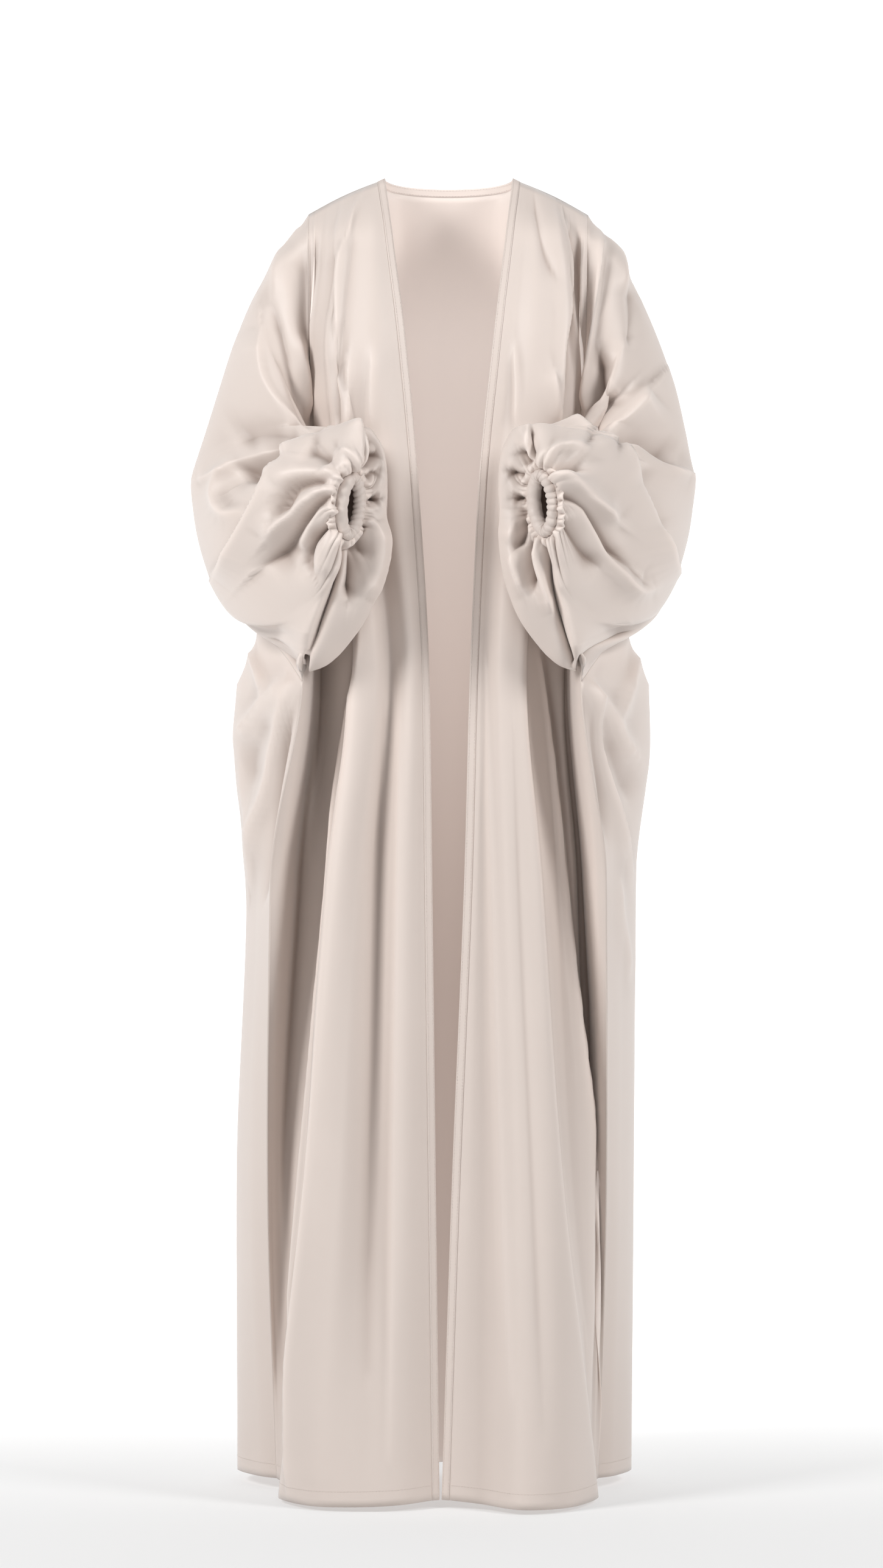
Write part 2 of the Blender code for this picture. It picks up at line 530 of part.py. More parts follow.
def shell(panel, material):
    """One closed wall of even thickness about a panel's middle surface.

    Where a panel is marked sparse_top, its first row keeps every other point, as
    its neighbour's edge does, so that the two edges are cut alike.
    """
    grid, normals = pulled_back(panel), panel["normals"]
    half = panel["wall"] / 2
    rows, columns = grid.shape[:2]
    points = np.concatenate([(grid + normals * half).reshape(-1, 3), (grid - normals * half).reshape(-1, 3)])
    layer = rows * columns
    faces = []

    def both(*corners):
        for k in range(1, len(corners) - 1):
            faces.append((corners[0], corners[k], corners[k + 1]))
            faces.append((layer + corners[0], layer + corners[k + 1], layer + corners[k]))

    def edge_wall(a, b):
        if np.linalg.norm(points[a] - points[layer + b]) < np.linalg.norm(points[b] - points[layer + a]):
            faces.extend([(a, layer + b, b), (a, layer + a, layer + b)])
        else:
            faces.extend([(a, layer + a, b), (b, layer + a, layer + b)])

    reach = columns if panel["closed"] else columns - 1
    top_step = 2 if panel["sparse_top"] else 1
    for i in range(rows - 1):
        for j in range(0, reach, top_step if i == 0 else 1):
            at = [i * columns + (j + n) % columns for n in range(3)]
            low = [n + columns for n in at]
            quad = points[[at[0], low[0], low[1], at[1]]]
            spans = [np.linalg.norm(np.cross(quad[k - 1] - quad[k], quad[(k + 1) % 4] - quad[k]))
                     for k in range(4)]
            if i == 0 and top_step == 2:
                both(at[0], low[0], low[1])
                both(at[0], low[1], at[2])
                both(at[2], low[1], low[2])
            elif min(spans[1], spans[3]) >= min(spans[0], spans[2]):
                both(at[0], low[0], low[1], at[1])
            else:
                both(low[0], low[1], at[1], at[0])
    for j in range(0, reach, top_step):
        edge_wall((j + top_step) % columns, j)
    for j in range(reach):
        edge_wall((rows - 1) * columns + j, (rows - 1) * columns + (j + 1) % columns)
    if not panel["closed"]:
        for i in range(rows - 1):
            edge_wall(i * columns, (i + 1) * columns)
            edge_wall((i + 2) * columns - 1, (i + 1) * columns - 1)
    used, faces = np.unique(np.array(faces), return_inverse=True)
    points, faces = points[used], faces.reshape(-1, 3)
    corners = points[faces]
    if np.einsum("ij,ij->i", corners[:, 0], np.cross(corners[:, 1], corners[:, 2])).sum() < 0:
        faces = faces[:, ::-1]
    return add_object(panel["name"], points, faces, material)


def add_object(name, points, faces, material):
    mesh = bpy.data.meshes.new(name)
    mesh.from_pydata([tuple(p) for p in points], [], [tuple(int(i) for i in f) for f in faces])
    mesh.materials.append(material)
    mesh.shade_smooth()
    mesh.set_sharp_from_angle(angle=math.radians(60))
    obj = bpy.data.objects.new(name, mesh)
    bpy.context.scene.collection.objects.link(obj)
    return obj


def cuff(side, around, material):
    """The gathered elastic casing, a closed ring with soft wrinkles."""
    sign = SIDES[side]
    angle = np.arange(around) * 2 * math.pi / around
    axis = ring_frame(side)[3]
    line = ring_points(side, angle)
    outward = unit(ring_points(side, angle, 1.0) - line)
    turn = np.arange(CUFF_SIDES) * 2 * math.pi / CUFF_SIDES
    fullness = np.where(np.arange(around) % 2 == 0, 1.0, CUFF_WRINKLE)[:, None, None]
    across = CUFF_TUBE * np.cos(turn)[None, :, None] * outward[:, None]
    points = line[:, None] + fullness * (across + CUFF_HALF_DEPTH * np.sin(turn)[None, :, None] * axis)
    points = points.reshape(-1, 3) * (sign, 1, 1)
    faces = []
    for i in range(around):
        for j in range(CUFF_SIDES):
            a, b = i * CUFF_SIDES, ((i + 1) % around) * CUFF_SIDES
            k = (j + 1) % CUFF_SIDES
            faces += [(a + j, b + j, b + k), (a + j, b + k, a + k)]
    faces = np.array(faces)
    corners = points[faces]
    if np.einsum("ij,ij->i", corners[:, 0], np.cross(corners[:, 1], corners[:, 2])).sum() < 0:
        faces = faces[:, ::-1]
    return add_object(f"cuff_{side}", points, faces, material)


def cloth_material(name):
    material = bpy.data.materials.new(name)
    material.use_nodes = True
    shader = material.node_tree.nodes["Principled BSDF"]
    shader.inputs["Base Color"].default_value = CLOTH["color"]
    shader.inputs["Roughness"].default_value = CLOTH["roughness"]
    return material


def panel(name, grid, wall=WALL, closed=False, sparse_top=False):
    grid = eased(grid, closed, EASED_SLEEVE_ROW if closed else 1)
    fans = facet_fans(grid, closed)
    return {"name": name, "grid": grid, "wall": wall, "closed": closed, "sparse_top": sparse_top,
            "fans": fans, "normals": standing_off(fans)}


def face_front(made, where):
    """Turns a panel's normals so that those of the named part look to the front."""
    if made["normals"][where][..., 1].mean() > 0:
        made["normals"] = -made["normals"]


def build():
    panels, edges, seams = {}, {}, {}
    for side, sign in SIDES.items():
        surface, edge = front_grid(side, 1, ROWS_ABOVE, ROWS_BELOW)
        seams[side] = surface[:, -1]
        edges[side] = edge * (sign, 1, 1)
        made = panel(f"front_{side}", surface * (sign, 1, 1))
        face_front(made, (slice(None), slice(6)))
        grid = folded(made["name"], side, made["grid"], made["normals"])
        made = panel(made["name"], grid, sparse_top=True)
        face_front(made, (slice(None), slice(6)))
        panels[made["name"]] = made
    shoulder_columns = (panels["front_left"]["grid"].shape[1] - 1) // 2
    back = back_grid(seams, shoulder_columns, NECK_COLUMNS, ROWS_ABOVE, ROWS_BELOW)
    made = panel("back", back)
    face_front(made, (slice(None), back.shape[1] // 2))
    made["normals"] = -made["normals"]
    panels["back"] = made
    for side, sign in SIDES.items():
        front_seam = seams[side][: ROWS_ABOVE + 1]
        column = 0 if side == "left" else -1
        back_seam = back[: ROWS_ABOVE + 1, column] * (sign, 1, 1)
        loop = np.concatenate([front_seam, back_seam[-2:0:-1]])
        fine = np.repeat(loop, 2, axis=0)
        fine[1::2] = (loop + np.roll(loop, -1, axis=0)) / 2
        surface, stations, angle = sleeve_grid(side, fine, SLEEVE_ROWS)
        surface = eased(surface, True, EASED_SLEEVE_ROW)
        normals = standing_off(facet_fans(surface, closed=True))
        if normals[SLEEVE_ROWS - 3, :, 1].mean() > 0:
            normals = -normals
        for_view = normals * (sign, 1, 1)
        surface = folded(f"sleeve_{side}", side, surface * (sign, 1, 1), for_view) * (sign, 1, 1)
        surface = gathered(surface, stations, angle, normals)
        made = panel(f"sleeve_{side}", surface * (sign, 1, 1), closed=True, sparse_top=True)
        face_front(made, SLEEVE_ROWS - 3)
        panels[made["name"]] = made
    neck_edge, neck_inset = neck_curve(NECK_COLUMNS)
    outer = np.concatenate([edges["left"][::-1], neck_edge[1:-1], edges["right"]])
    inner = np.concatenate([panels["front_left"]["grid"][::-1, 0], neck_inset[1:-1],
                            panels["front_right"]["grid"][:, 0]])
    band = panel("edge_band", np.stack([inner, (inner + outer) / 2, outer], axis=1), wall=BAND_WALL)
    face_front(band, slice(ROWS_BELOW))
    panels["edge_band"] = band
    share_normals(list(panels.values()))
    for made in panels.values():
        shell(made, cloth_material(made["name"] + "_cloth"))
    for side in SIDES:
        cuff(side, 4 * ROWS_ABOVE, cloth_material(f"cuff_{side}_cloth"))


for old in list(bpy.data.objects):
    bpy.data.objects.remove(old)
build()
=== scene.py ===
import math

import bpy
import numpy as np
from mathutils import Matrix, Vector


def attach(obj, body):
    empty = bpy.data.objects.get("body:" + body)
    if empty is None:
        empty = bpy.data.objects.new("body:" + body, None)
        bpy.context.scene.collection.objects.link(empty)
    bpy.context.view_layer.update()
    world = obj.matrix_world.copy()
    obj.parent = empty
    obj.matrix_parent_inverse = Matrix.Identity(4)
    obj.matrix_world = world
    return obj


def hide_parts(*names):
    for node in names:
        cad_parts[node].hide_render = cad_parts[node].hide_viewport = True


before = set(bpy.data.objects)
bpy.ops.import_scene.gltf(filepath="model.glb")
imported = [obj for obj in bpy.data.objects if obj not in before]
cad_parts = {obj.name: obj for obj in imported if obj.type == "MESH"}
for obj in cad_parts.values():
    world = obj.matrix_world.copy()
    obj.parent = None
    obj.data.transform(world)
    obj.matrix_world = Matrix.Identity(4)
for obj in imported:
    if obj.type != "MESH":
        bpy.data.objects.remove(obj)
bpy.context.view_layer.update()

# Sizes in metres
MM = 0.001
WALL = 0.0010
BAND_WALL = 0.0018
BAND_WIDTH = 0.009
HEM_Z = -1.497
PINCH_Z = -0.579
CHEST_Z = -0.075
CHEST_SHARE = 0.62
CUFF_TUBE = 0.0055
CUFF_HALF_HEIGHT = 0.032
CUFF_HALF_WIDTH = 0.015
SHOULDER_ROUNDING = 0.0025
CUFF_TURN = math.radians(42)
CUFF_CLEAR = 0.0004
CUFF_LIP = (0.017, 0.004)

# Mesh density and evening
PER_COLUMN = 8
ROWS_ABOVE = 78
ROWS_BELOW = 110
SHOULDER_COLUMNS = 72
NECK_COLUMNS = 96
SLEEVE_ROWS = 154
NORMAL_STEPS = 6
RELAX_STEPS = 100

SIDES = {"left": -1.0, "right": 1.0}

# Shoulder seam and ring placement for each side: neck point, shoulder point, pinch
# point, cuff centre, and how far out the sleeve stands at each of its five stations.
SHOULDER = {
    "left": {"neck": (0.066, 0.0, 0.0), "tip": (0.153, 0.003, -0.0405),
             "pinch": (0.156, -0.150, PINCH_Z), "cuff": (0.102, -0.212, -0.388),
             "spread": (0.995, 0.97, 1.0, 1.0, 1.0)},
    "right": {"neck": (0.080, 0.0, 0.0), "tip": (0.166, 0.003, -0.0415),
              "pinch": (0.154, -0.150, PINCH_Z), "cuff": (0.110, -0.212, -0.385),
              "spread": (1.045, 1.005, 1.0, 1.0, 1.0)},
}
NECK_BACK = (0.055, -0.005)

# Each front is drawn by its fold lines, from the front edge to the side seam.
# A row holds the line's share of the columns and then (x, y) at each height.
HEIGHTS = (-0.20, -0.36, PINCH_Z, -0.80, -1.15, HEM_Z)
LEFT_FRONT = (
    # name, columns, bust, cuff, pinch, hip, knee, hem
    ("edge", 2, (.041, -.095), (.027, -.112), (.015, -.115), (.012, -.108), (.008, -.092), (.004, -.074)),
    ("crest", 2, (.076, -.107), (.056, -.123), (.037, -.126), (.043, -.120), (.046, -.110), (.048, -.098)),
    ("trough", 2, (.111, -.098), (.083, -.112), (.058, -.112), (.072, -.104), (.076, -.098), (.090, -.102)),
    ("swell", 2, (.120, -.101), (.100, -.118), (.078, -.127), (.098, -.121), (.118, -.117), (.144, -.090)),
    ("ridge", 1, (.129, -.095), (.117, -.108), (.097, -.128), (.117, -.122), (.147, -.105), (.184, -.040)),
    ("turn", 2, (.133, -.082), (.123, -.092), (.099, -.104), (.119, -.098), (.146, -.080), (.187, -.018)),
    ("recess", 1, (.138, -.068), (.132, -.075), (.122, -.070), (.133, -.066), (.156, -.058), (.183, .004)),
    ("hollow", 1, (.142, -.058), (.139, -.062), (.137, -.048), (.152, -.042), (.171, -.030), (.181, .022)),
    ("corner", 1, (.145, -.053), (.143, -.056), (.141, -.060), (.162, -.034), (.180, -.016), (.182, .036)),
    ("pleat_in", 1, (.147, -.051), (.146, -.054), (.146, -.098), (.170, -.070), (.186, -.019), (.185, .045)),
    ("pleat", 1, (.149, -.052), (.148, -.054), (.151, -.134), (.181, -.098), (.193, -.027), (.188, .052)),
    ("seam", 0, (.151, -.055), (.151, -.056), (.156, -.150), (.193, -.104), (.199, -.035), (.192, .058)),
)
RIGHT_FRONT = (
    ("edge", 2, (.056, -.095), (.040, -.112), (.030, -.115), (.024, -.108), (.010, -.092), (-.001, -.074)),
    ("trough", 2, (.080, -.099), (.060, -.112), (.048, -.114), (.046, -.107), (.044, -.096), (.040, -.088)),
    ("crest", 2, (.102, -.106), (.078, -.122), (.064, -.129), (.072, -.126), (.084, -.122), (.088, -.122)),
    ("swell", 2, (.124, -.100), (.096, -.120), (.079, -.130), (.094, -.124), (.114, -.119), (.140, -.100)),
    ("ridge", 1, (.138, -.092), (.112, -.108), (.090, -.126), (.107, -.118), (.133, -.104), (.174, -.040)),
    ("turn", 2, (.142, -.078), (.118, -.092), (.092, -.102), (.109, -.094), (.133, -.080), (.177, -.018)),
    ("recess", 1, (.146, -.062), (.129, -.075), (.113, -.070), (.124, -.064), (.144, -.056), (.172, .002)),
    ("hollow", 1, (.151, -.056), (.140, -.060), (.135, -.058), (.150, -.050), (.162, -.036), (.169, .018)),
    ("corner", 1, (.155, -.050), (.146, -.054), (.139, -.052), (.156, -.034), (.168, -.016), (.170, .034)),
    ("pleat_in", 1, (.158, -.050), (.150, -.052), (.144, -.096), (.161, -.070), (.174, -.017), (.173, .045)),
    ("pleat", 1, (.160, -.052), (.153, -.054), (.149, -.134), (.171, -.098), (.180, -.025), (.176, .053)),
    ("seam", 0, (.162, -.055), (.156, -.056), (.154, -.150), (.183, -.104), (.186, -.033), (.180, .060)),
)
FRONT_LINES = {"left": LEFT_FRONT, "right": RIGHT_FRONT}

# The back, from the side seam or armhole to the centre, as (x, y, z) columns.
BACK_ABOVE = {
    # share of the armhole: armhole, side, blade, neck, inner, centre
    0.25: ((.160, .085, -.165), (.138, .098, -.165), (.112, .105, -.160),
           (.080, .108, -.155), (.042, .110, -.150), (.0, .108, -.150)),
    0.50: ((.185, .108, -.310), (.160, .118, -.310), (.128, .120, -.305),
           (.092, .121, -.300), (.046, .122, -.300), (.0, .120, -.300)),
    0.75: ((.228, .055, -.455), (.220, .096, -.450), (.175, .125, -.445),
           (.125, .130, -.440), (.060, .132, -.440), (.0, .128, -.440)),
}
# The same columns below the pinch, as (x, y); the seam itself comes from the front.
BACK_BELOW = {
    "left": {
        PINCH_Z: ((.205, -.060), (.236, .020), (.195, .110), (.100, .140), (.0, .135)),
        -0.64: ((.212, -.055), (.240, .020), (.203, .112), (.102, .145), (.0, .139)),
        -0.80: ((.210, -.045), (.225, .035), (.192, .130), (.100, .155), (.0, .148)),
        -1.15: ((.222, .000), (.238, .070), (.200, .155), (.105, .185), (.0, .178)),
        HEM_Z: ((.213, .075), (.2405, .130), (.205, .185), (.110, .215), (.0, .205)),
    },
    "right": {
        PINCH_Z: ((.205, -.060), (.236, .020), (.195, .110), (.100, .140), (.0, .135)),
        -0.64: ((.211, -.055), (.238, .020), (.203, .112), (.102, .145), (.0, .139)),
        -0.80: ((.203, -.045), (.222, .035), (.190, .130), (.100, .155), (.0, .148)),
        -1.15: ((.203, .000), (.221, .070), (.190, .155), (.100, .185), (.0, .178)),
        HEM_Z: ((.198, .075), (.221, .130), (.192, .185), (.105, .215), (.0, .205)),
    },
}
BACK_FOLDS = 3.5
BACK_FOLD_DEPTH = 0.027
BACK_FOLD_TOP = -0.16
BACK_FOLD_SWAY = 0.45

# The sleeve is drawn by eight lines that run from the armhole to the cuff, and a
# row holds each line's points at the stations between the two.
SPREAD_FROM = 0.15
SPREAD_FULL = 0.23
SLEEVE_STATIONS = (0.0, 0.16, 0.32, 0.46, 0.62, 0.80, 0.93, 1.0)
SLEEVE_LINES = (
    # name, upper arm, above elbow, elbow, forearm, crest
    ("overarm", (.222, .004, -.146), (.271, .002, -.262), (.286, -.012, -.338),
     (.212, -.100, -.322), (.091, -.190, -.293)),
    ("front", (.198, -.068, -.200), (.196, -.088, -.252), (.180, -.104, -.290),
     (.128, -.140, -.296), (.066, -.188, -.316)),
    ("inner", (.142, -.085, -.330), (.130, -.108, -.350), (.113, -.124, -.366),
     (.088, -.142, -.372), (.060, -.182, -.378)),
    ("inner_low", (.149, -.126, -.530), (.149, -.146, -.570), (.131, -.152, -.565),
     (.107, -.158, -.543), (.080, -.180, -.492)),
    ("underarm", (.154, -.169, -.553), (.150, -.176, -.541), (.145, -.181, -.530),
     (.136, -.189, -.510), (.121, -.199, -.478)),
    ("back_low", (.240, .012, -.488), (.244, -.020, -.496), (.236, -.060, -.506),
     (.208, -.124, -.514), (.154, -.188, -.484)),
    ("outer", (.238, .088, -.360), (.268, .055, -.415), (.272, .004, -.446),
     (.240, -.094, -.456), (.184, -.176, -.424)),
    ("back", (.215, .082, -.205), (.262, .066, -.295), (.288, .024, -.385),
     (.258, -.070, -.385), (.186, -.164, -.350)),
)


def slopes(knots, values):
    """Slopes at the knots that keep a curve from overshooting its values."""
    step = np.diff(knots)[:, None]
    rise = np.diff(values, axis=0) / step
    shared = step[1:] * rise[:-1] + step[:-1] * rise[1:]
    shared = np.where(np.abs(shared) < 1e-12, 1.0, shared)
    inner = np.where(rise[:-1] * rise[1:] > 0,
                     (step[:-1] + step[1:]) * rise[:-1] * rise[1:] / shared, 0.0)
    return np.concatenate([rise[:1], inner, rise[-1:]])


def curve_at(knots, values, at):
    """The points at the given places of a smooth curve through values at knots."""
    knots, values = np.asarray(knots, float), np.asarray(values, float)
    if knots[0] > knots[-1]:
        knots, values = knots[::-1], values[::-1]
    flat = values.reshape(len(knots), -1)
    tangent = slopes(knots, flat)
    at = np.clip(np.atleast_1d(np.asarray(at, float)), knots[0], knots[-1])
    i = np.clip(np.searchsorted(knots, at, side="right") - 1, 0, len(knots) - 2)
    width = (knots[i + 1] - knots[i])[:, None]
    t = (at - knots[i])[:, None] / width
    made = ((2 * t**3 - 3 * t**2 + 1) * flat[i] + (t**3 - 2 * t**2 + t) * width * tangent[i]
            + (3 * t**2 - 2 * t**3) * flat[i + 1] + (t**3 - t**2) * width * tangent[i + 1])
    return made.reshape((len(at),) + values.shape[1:])


def through(points, places, closed=False):
    """Points at fractional places, counted in points, on a rounded curve through points."""
    points = np.asarray(points, float)
    count = len(points)
    if closed:
        points = np.concatenate([points[-2:], points, points[:3]])
    else:
        points = np.concatenate([points[:1] * 2 - points[1:2], points, points[-1:] * 2 - points[-2:-1]])
    lead = 2 if closed else 1
    gap = np.maximum(np.sqrt(np.linalg.norm(np.diff(points, axis=0), axis=-1, keepdims=True)), 1e-4)
    rise = np.diff(points, axis=0) / gap
    tangent = (rise[:-1] * gap[1:] + rise[1:] * gap[:-1]) / (gap[:-1] + gap[1:])
    places = np.asarray(places, float)
    i = np.floor(places).astype(int)
    i = i % count if closed else np.minimum(i, count - 2)
    t = (places - (np.floor(places) if closed else i)).reshape((-1,) + (1,) * (points.ndim - 1))
    k = i + lead
    return ((2 * t**3 - 3 * t**2 + 1) * points[k] + (t**3 - 2 * t**2 + t) * gap[k] * tangent[k - 1]
            + (3 * t**2 - 2 * t**3) * points[k + 1] + (t**3 - t**2) * gap[k] * tangent[k])


def unit(v):
    """Vectors of length one that point as the given ones do."""
    return v / np.maximum(np.linalg.norm(v, axis=-1, keepdims=True), 1e-12)


def column_places(side, per_column):
    """Where each mesh column lies, counted in fold lines, for a number of columns a share."""
    places = []
    for k, row in enumerate(FRONT_LINES[side][:-1]):
        steps = row[1] * per_column
        places += [k + n / steps for n in range(steps)]
    return np.array(places + [len(FRONT_LINES[side]) - 1.0])


def shoulder_seam(side, share):
    """Points on the shoulder seam, from the band (0) to the shoulder point (1)."""
    neck, tip = np.array(SHOULDER[side]["neck"]), np.array(SHOULDER[side]["tip"])
    start = neck + unit(tip - neck) * BAND_WIDTH
    share = np.asarray(share, float)[:, None]
    rounding = np.array([0.0, 0.0, SHOULDER_ROUNDING]) * np.sin(math.pi * share)
    return start + (tip - start) * share + rounding


def front_grid(side, per_column, rows_above, rows_below):
    """The front's middle surface, rows from the shoulder to the hem, and its edge line."""
    places = column_places(side, per_column)
    lines = [row[2:] for row in FRONT_LINES[side]]
    top = shoulder_seam(side, np.linspace(0, 1, len(places)))
    neck = np.array(SHOULDER[side]["neck"])
    line_top = curve_at(places, top, np.arange(len(lines)))
    line_top[0] = neck
    rows = np.concatenate([np.linspace(0, 1, rows_above + 1), 1 + np.linspace(0, 1, rows_below + 1)[1:]])
    grid = []
    for row in rows:
        points = []
        for k, line in enumerate(lines):
            z = line_top[k][2] + (PINCH_Z - line_top[k][2]) * row if row <= 1 \
                else PINCH_Z + (HEM_Z - PINCH_Z) * (row - 1)
            bust = np.array(line[0])
            chest = line_top[k][0] + (bust[0] - line_top[k][0]) * (1 - CHEST_SHARE), bust[1] * CHEST_SHARE
            knots = (line_top[k][2], CHEST_Z) + HEIGHTS
            x, y = curve_at(knots, [line_top[k][:2], chest, *line], [z])[0]
            points.append((x, y, z))
        points = np.array(points)
        edge = points[0].copy()
        points[0] = edge + unit(points[1] - edge) * BAND_WIDTH
        grid.append((edge, through(points, places)))
    edges = np.array([edge for edge, _ in grid])
    surface = np.array([points for _, points in grid])
    surface[0] = top
    edges[0] = neck
    return surface, edges


def neck_curve(count):
    """The back neckline's edge, left neck point to right, and the line a band's width below it."""
    left = np.array(SHOULDER["left"]["neck"]) * (-1, 1, 1)
    right = np.array(SHOULDER["right"]["neck"])
    share = np.linspace(0, 1, count + 1)[:, None]
    across = 0.5 - 0.5 * np.cos(math.pi * share)
    edge = left + (right - left) * across
    edge[:, 1:2] = NECK_BACK[0] * np.sin(math.pi * share) ** 0.8
    edge[:, 2:3] = NECK_BACK[1] * np.sin(math.pi * share)
    down = np.array([0.0, 0.25, -0.97])
    out_left = unit(np.array(SHOULDER["left"]["tip"]) * (-1, 1, 1) - left)
    out_right = unit(np.array(SHOULDER["right"]["tip"]) - right)
    blend = np.clip(np.sin(math.pi * share) * 1.3 - 0.1, 0, 1)
    out = np.where(share < 0.5, out_left, out_right)
    inset = edge + unit(down * blend + out * (1 - blend)) * BAND_WIDTH
    return edge, inset


def back_line(side, seams, share, neck_line):
    """The six points from the armhole or seam to the centre back at one row."""
    sign = SIDES[side]
    shares = (0.25, 0.50, 0.75)
    columns = []
    for k in range(6):
        above = [BACK_ABOVE[s][k] for s in shares]
        if k == 0:
            above = [SHOULDER[side]["tip"]] + above + [SHOULDER[side]["pinch"]]
        else:
            x, y = BACK_BELOW[side][PINCH_Z][k - 1]
            above = [neck_line[k]] + above + [(x, y, PINCH_Z)]
        if share <= 1:
            columns.append(curve_at((0, 0.25, 0.5, 0.75, 1), above, [share])[0])
        elif k == 0:
            columns.append(seams)
        else:
            z = PINCH_Z + (HEM_Z - PINCH_Z) * (share - 1)
            heights = tuple(BACK_BELOW[side])
            x, y = curve_at(heights, [BACK_BELOW[side][h][k - 1] for h in heights], [z])[0]
            columns.append(np.array((x, y, z)))
    return np.array(columns) * (sign, 1, 1)


def back_grid(seam_lines, shoulder_columns, neck_columns, rows_above, rows_below):
    """The back's middle surface, rows from the shoulders and neck to the hem."""
    _, neck = neck_curve(neck_columns)
    place = np.concatenate([
        np.linspace(0, 3, shoulder_columns + 1),
        3 + np.linspace(0, 4, neck_columns + 1)[1:],
        7 + np.linspace(0, 3, shoulder_columns + 1)[1:],
    ])
    tops = {}
    for side, sign in SIDES.items():
        seam = shoulder_seam(side, [1, 2 / 3, 1 / 3, 0])
        along = neck if side == "left" else neck[::-1]
        middle = [along[neck_columns // 4], along[neck_columns // 2]]
        tops[side] = np.concatenate([seam, np.array(middle) * (sign, 1, 1)])
    rows = np.concatenate([np.linspace(0, 1, rows_above + 1), 1 + np.linspace(0, 1, rows_below + 1)[1:]])
    grid = []
    for n, share in enumerate(rows):
        sides = {side: back_line(side, seam_lines[side][n], share, tops[side]) for side in SIDES}
        line = np.concatenate([sides["left"], sides["right"][::-1][1:]])
        points = through(line, np.clip(place, 0, 10))
        z = points[:, 2]
        strength = BACK_FOLD_DEPTH * np.clip((BACK_FOLD_TOP - z) / (BACK_FOLD_TOP - HEM_Z), 0, 1) ** 0.8
        inside = np.clip(place - 2, 0, 1) * np.clip(8 - place, 0, 1)
        turns = (place - 2) / 6 * BACK_FOLDS
        wave = np.sin(2 * math.pi * turns + BACK_FOLD_SWAY * np.sin(1.7 * place))
        points[:, 1] += strength * inside * wave
        grid.append(points)
    surface = np.array(grid)
    left_seam = shoulder_seam("left", np.linspace(1, 0, shoulder_columns + 1)) * (-1, 1, 1)
    right_seam = shoulder_seam("right", np.linspace(0, 1, shoulder_columns + 1))
    surface[0] = np.concatenate([left_seam, neck[1:-1], right_seam])
    return surface


def ring_frame(side):
    """The cuff's centre and its two in-plane directions, upwards and outwards, and its axis."""
    centre = np.array(SHOULDER[side]["cuff"])
    up = unit(np.array([-0.10, 0.0, 1.0]))
    out = unit(np.array([math.cos(CUFF_TURN), -math.sin(CUFF_TURN), 0.05]))
    axis = unit(np.cross(up, out))
    return centre, up, out, axis if axis[1] < 0 else -axis


def ring_points(side, angle, grow=0.0):
    """Points on the cuff's own centre line, moved outwards in its plane by grow."""
    centre, up, out, _ = ring_frame(side)
    angle = np.asarray(angle, float)[..., None]
    upward = CUFF_HALF_HEIGHT * np.cos(angle) * up
    sideways = -CUFF_HALF_WIDTH * np.sin(angle) * out
    normal = unit(np.cos(angle) / CUFF_HALF_HEIGHT * up - np.sin(angle) / CUFF_HALF_WIDTH * out)
    return centre + upward + sideways + normal * grow


def sleeve_grid(side, armhole, rows):
    """The sleeve's middle surface, rows from the armhole loop to the cuff, one column a loop point.

    The loop starts at the shoulder point and runs down the front, past the pinch
    and up the back.
    """
    around = len(armhole)
    places = np.arange(around) * len(SLEEVE_LINES) / around
    angle = np.arange(around) * 2 * math.pi / around
    corner = (np.arange(len(SLEEVE_LINES)) * around) // len(SLEEVE_LINES)
    ring = ring_points(side, angle, CUFF_TUBE + CUFF_CLEAR)
    lip = ring_points(side, angle, CUFF_LIP[0]) + ring_frame(side)[3] * CUFF_LIP[1]
    spread = np.array(SHOULDER[side]["spread"])
    net = []
    for k, line in enumerate(SLEEVE_LINES):
        points = np.array(line[1:])
        outer = np.clip((points[:, 0] - SPREAD_FROM) / (SPREAD_FULL - SPREAD_FROM), 0, 1)
        points[:, 0] *= 1 + (spread - 1) * outer
        net.append([armhole[corner[k]], *points, lip[corner[k]], ring[corner[k]]])
    net = np.array(net)
    stations = np.linspace(0, 1, rows + 1)
    along = np.array([curve_at(SLEEVE_STATIONS, line, stations) for line in net])
    surface = np.array([through(along[:, n], places, closed=True) for n in range(rows + 1)])
    start, end = armhole - surface[0], ring - surface[-1]
    for n, s in enumerate(stations):
        surface[n] += start * np.clip(1 - s / 0.30, 0, 1) ** 2
        surface[n] += end * np.clip(1 - (1 - s) / 0.10, 0, 1) ** 2
    for _ in range(RELAX_STEPS):
        sides = np.roll(surface, 1, axis=1) + np.roll(surface, -1, axis=1)
        even = (surface[1:-1] * 2 + (sides[1:-1] + surface[:-2] + surface[2:]) / 2) / 4
        share = np.clip((stations[1:-1] - 0.15) / 0.2, 0, 1) * np.clip((0.95 - stations[1:-1]) / 0.1, 0, 1)
        surface[1:-1] += (even - surface[1:-1]) * share[:, None, None]
    return surface, stations, angle


def facet_fans(grid, closed=False):
    """For each point of a grid, the unit normals of the four facets that may meet there, or zeros."""
    if closed:
        grid = np.concatenate([grid[:, -1:], grid, grid[:, :1]], axis=1)
    fans = np.zeros((4,) + grid.shape)
    corners = ((slice(None, -1), slice(None, -1)), (slice(1, None), slice(None, -1)),
               (slice(1, None), slice(1, None)), (slice(None, -1), slice(1, None)))
    for k, here in enumerate(corners):
        after, before = grid[corners[(k + 1) % 4]], grid[corners[k - 1]]
        fans[k][here] = unit(np.cross(after - grid[here], before - grid[here]))
    return fans[:, :, 1:-1] if closed else fans


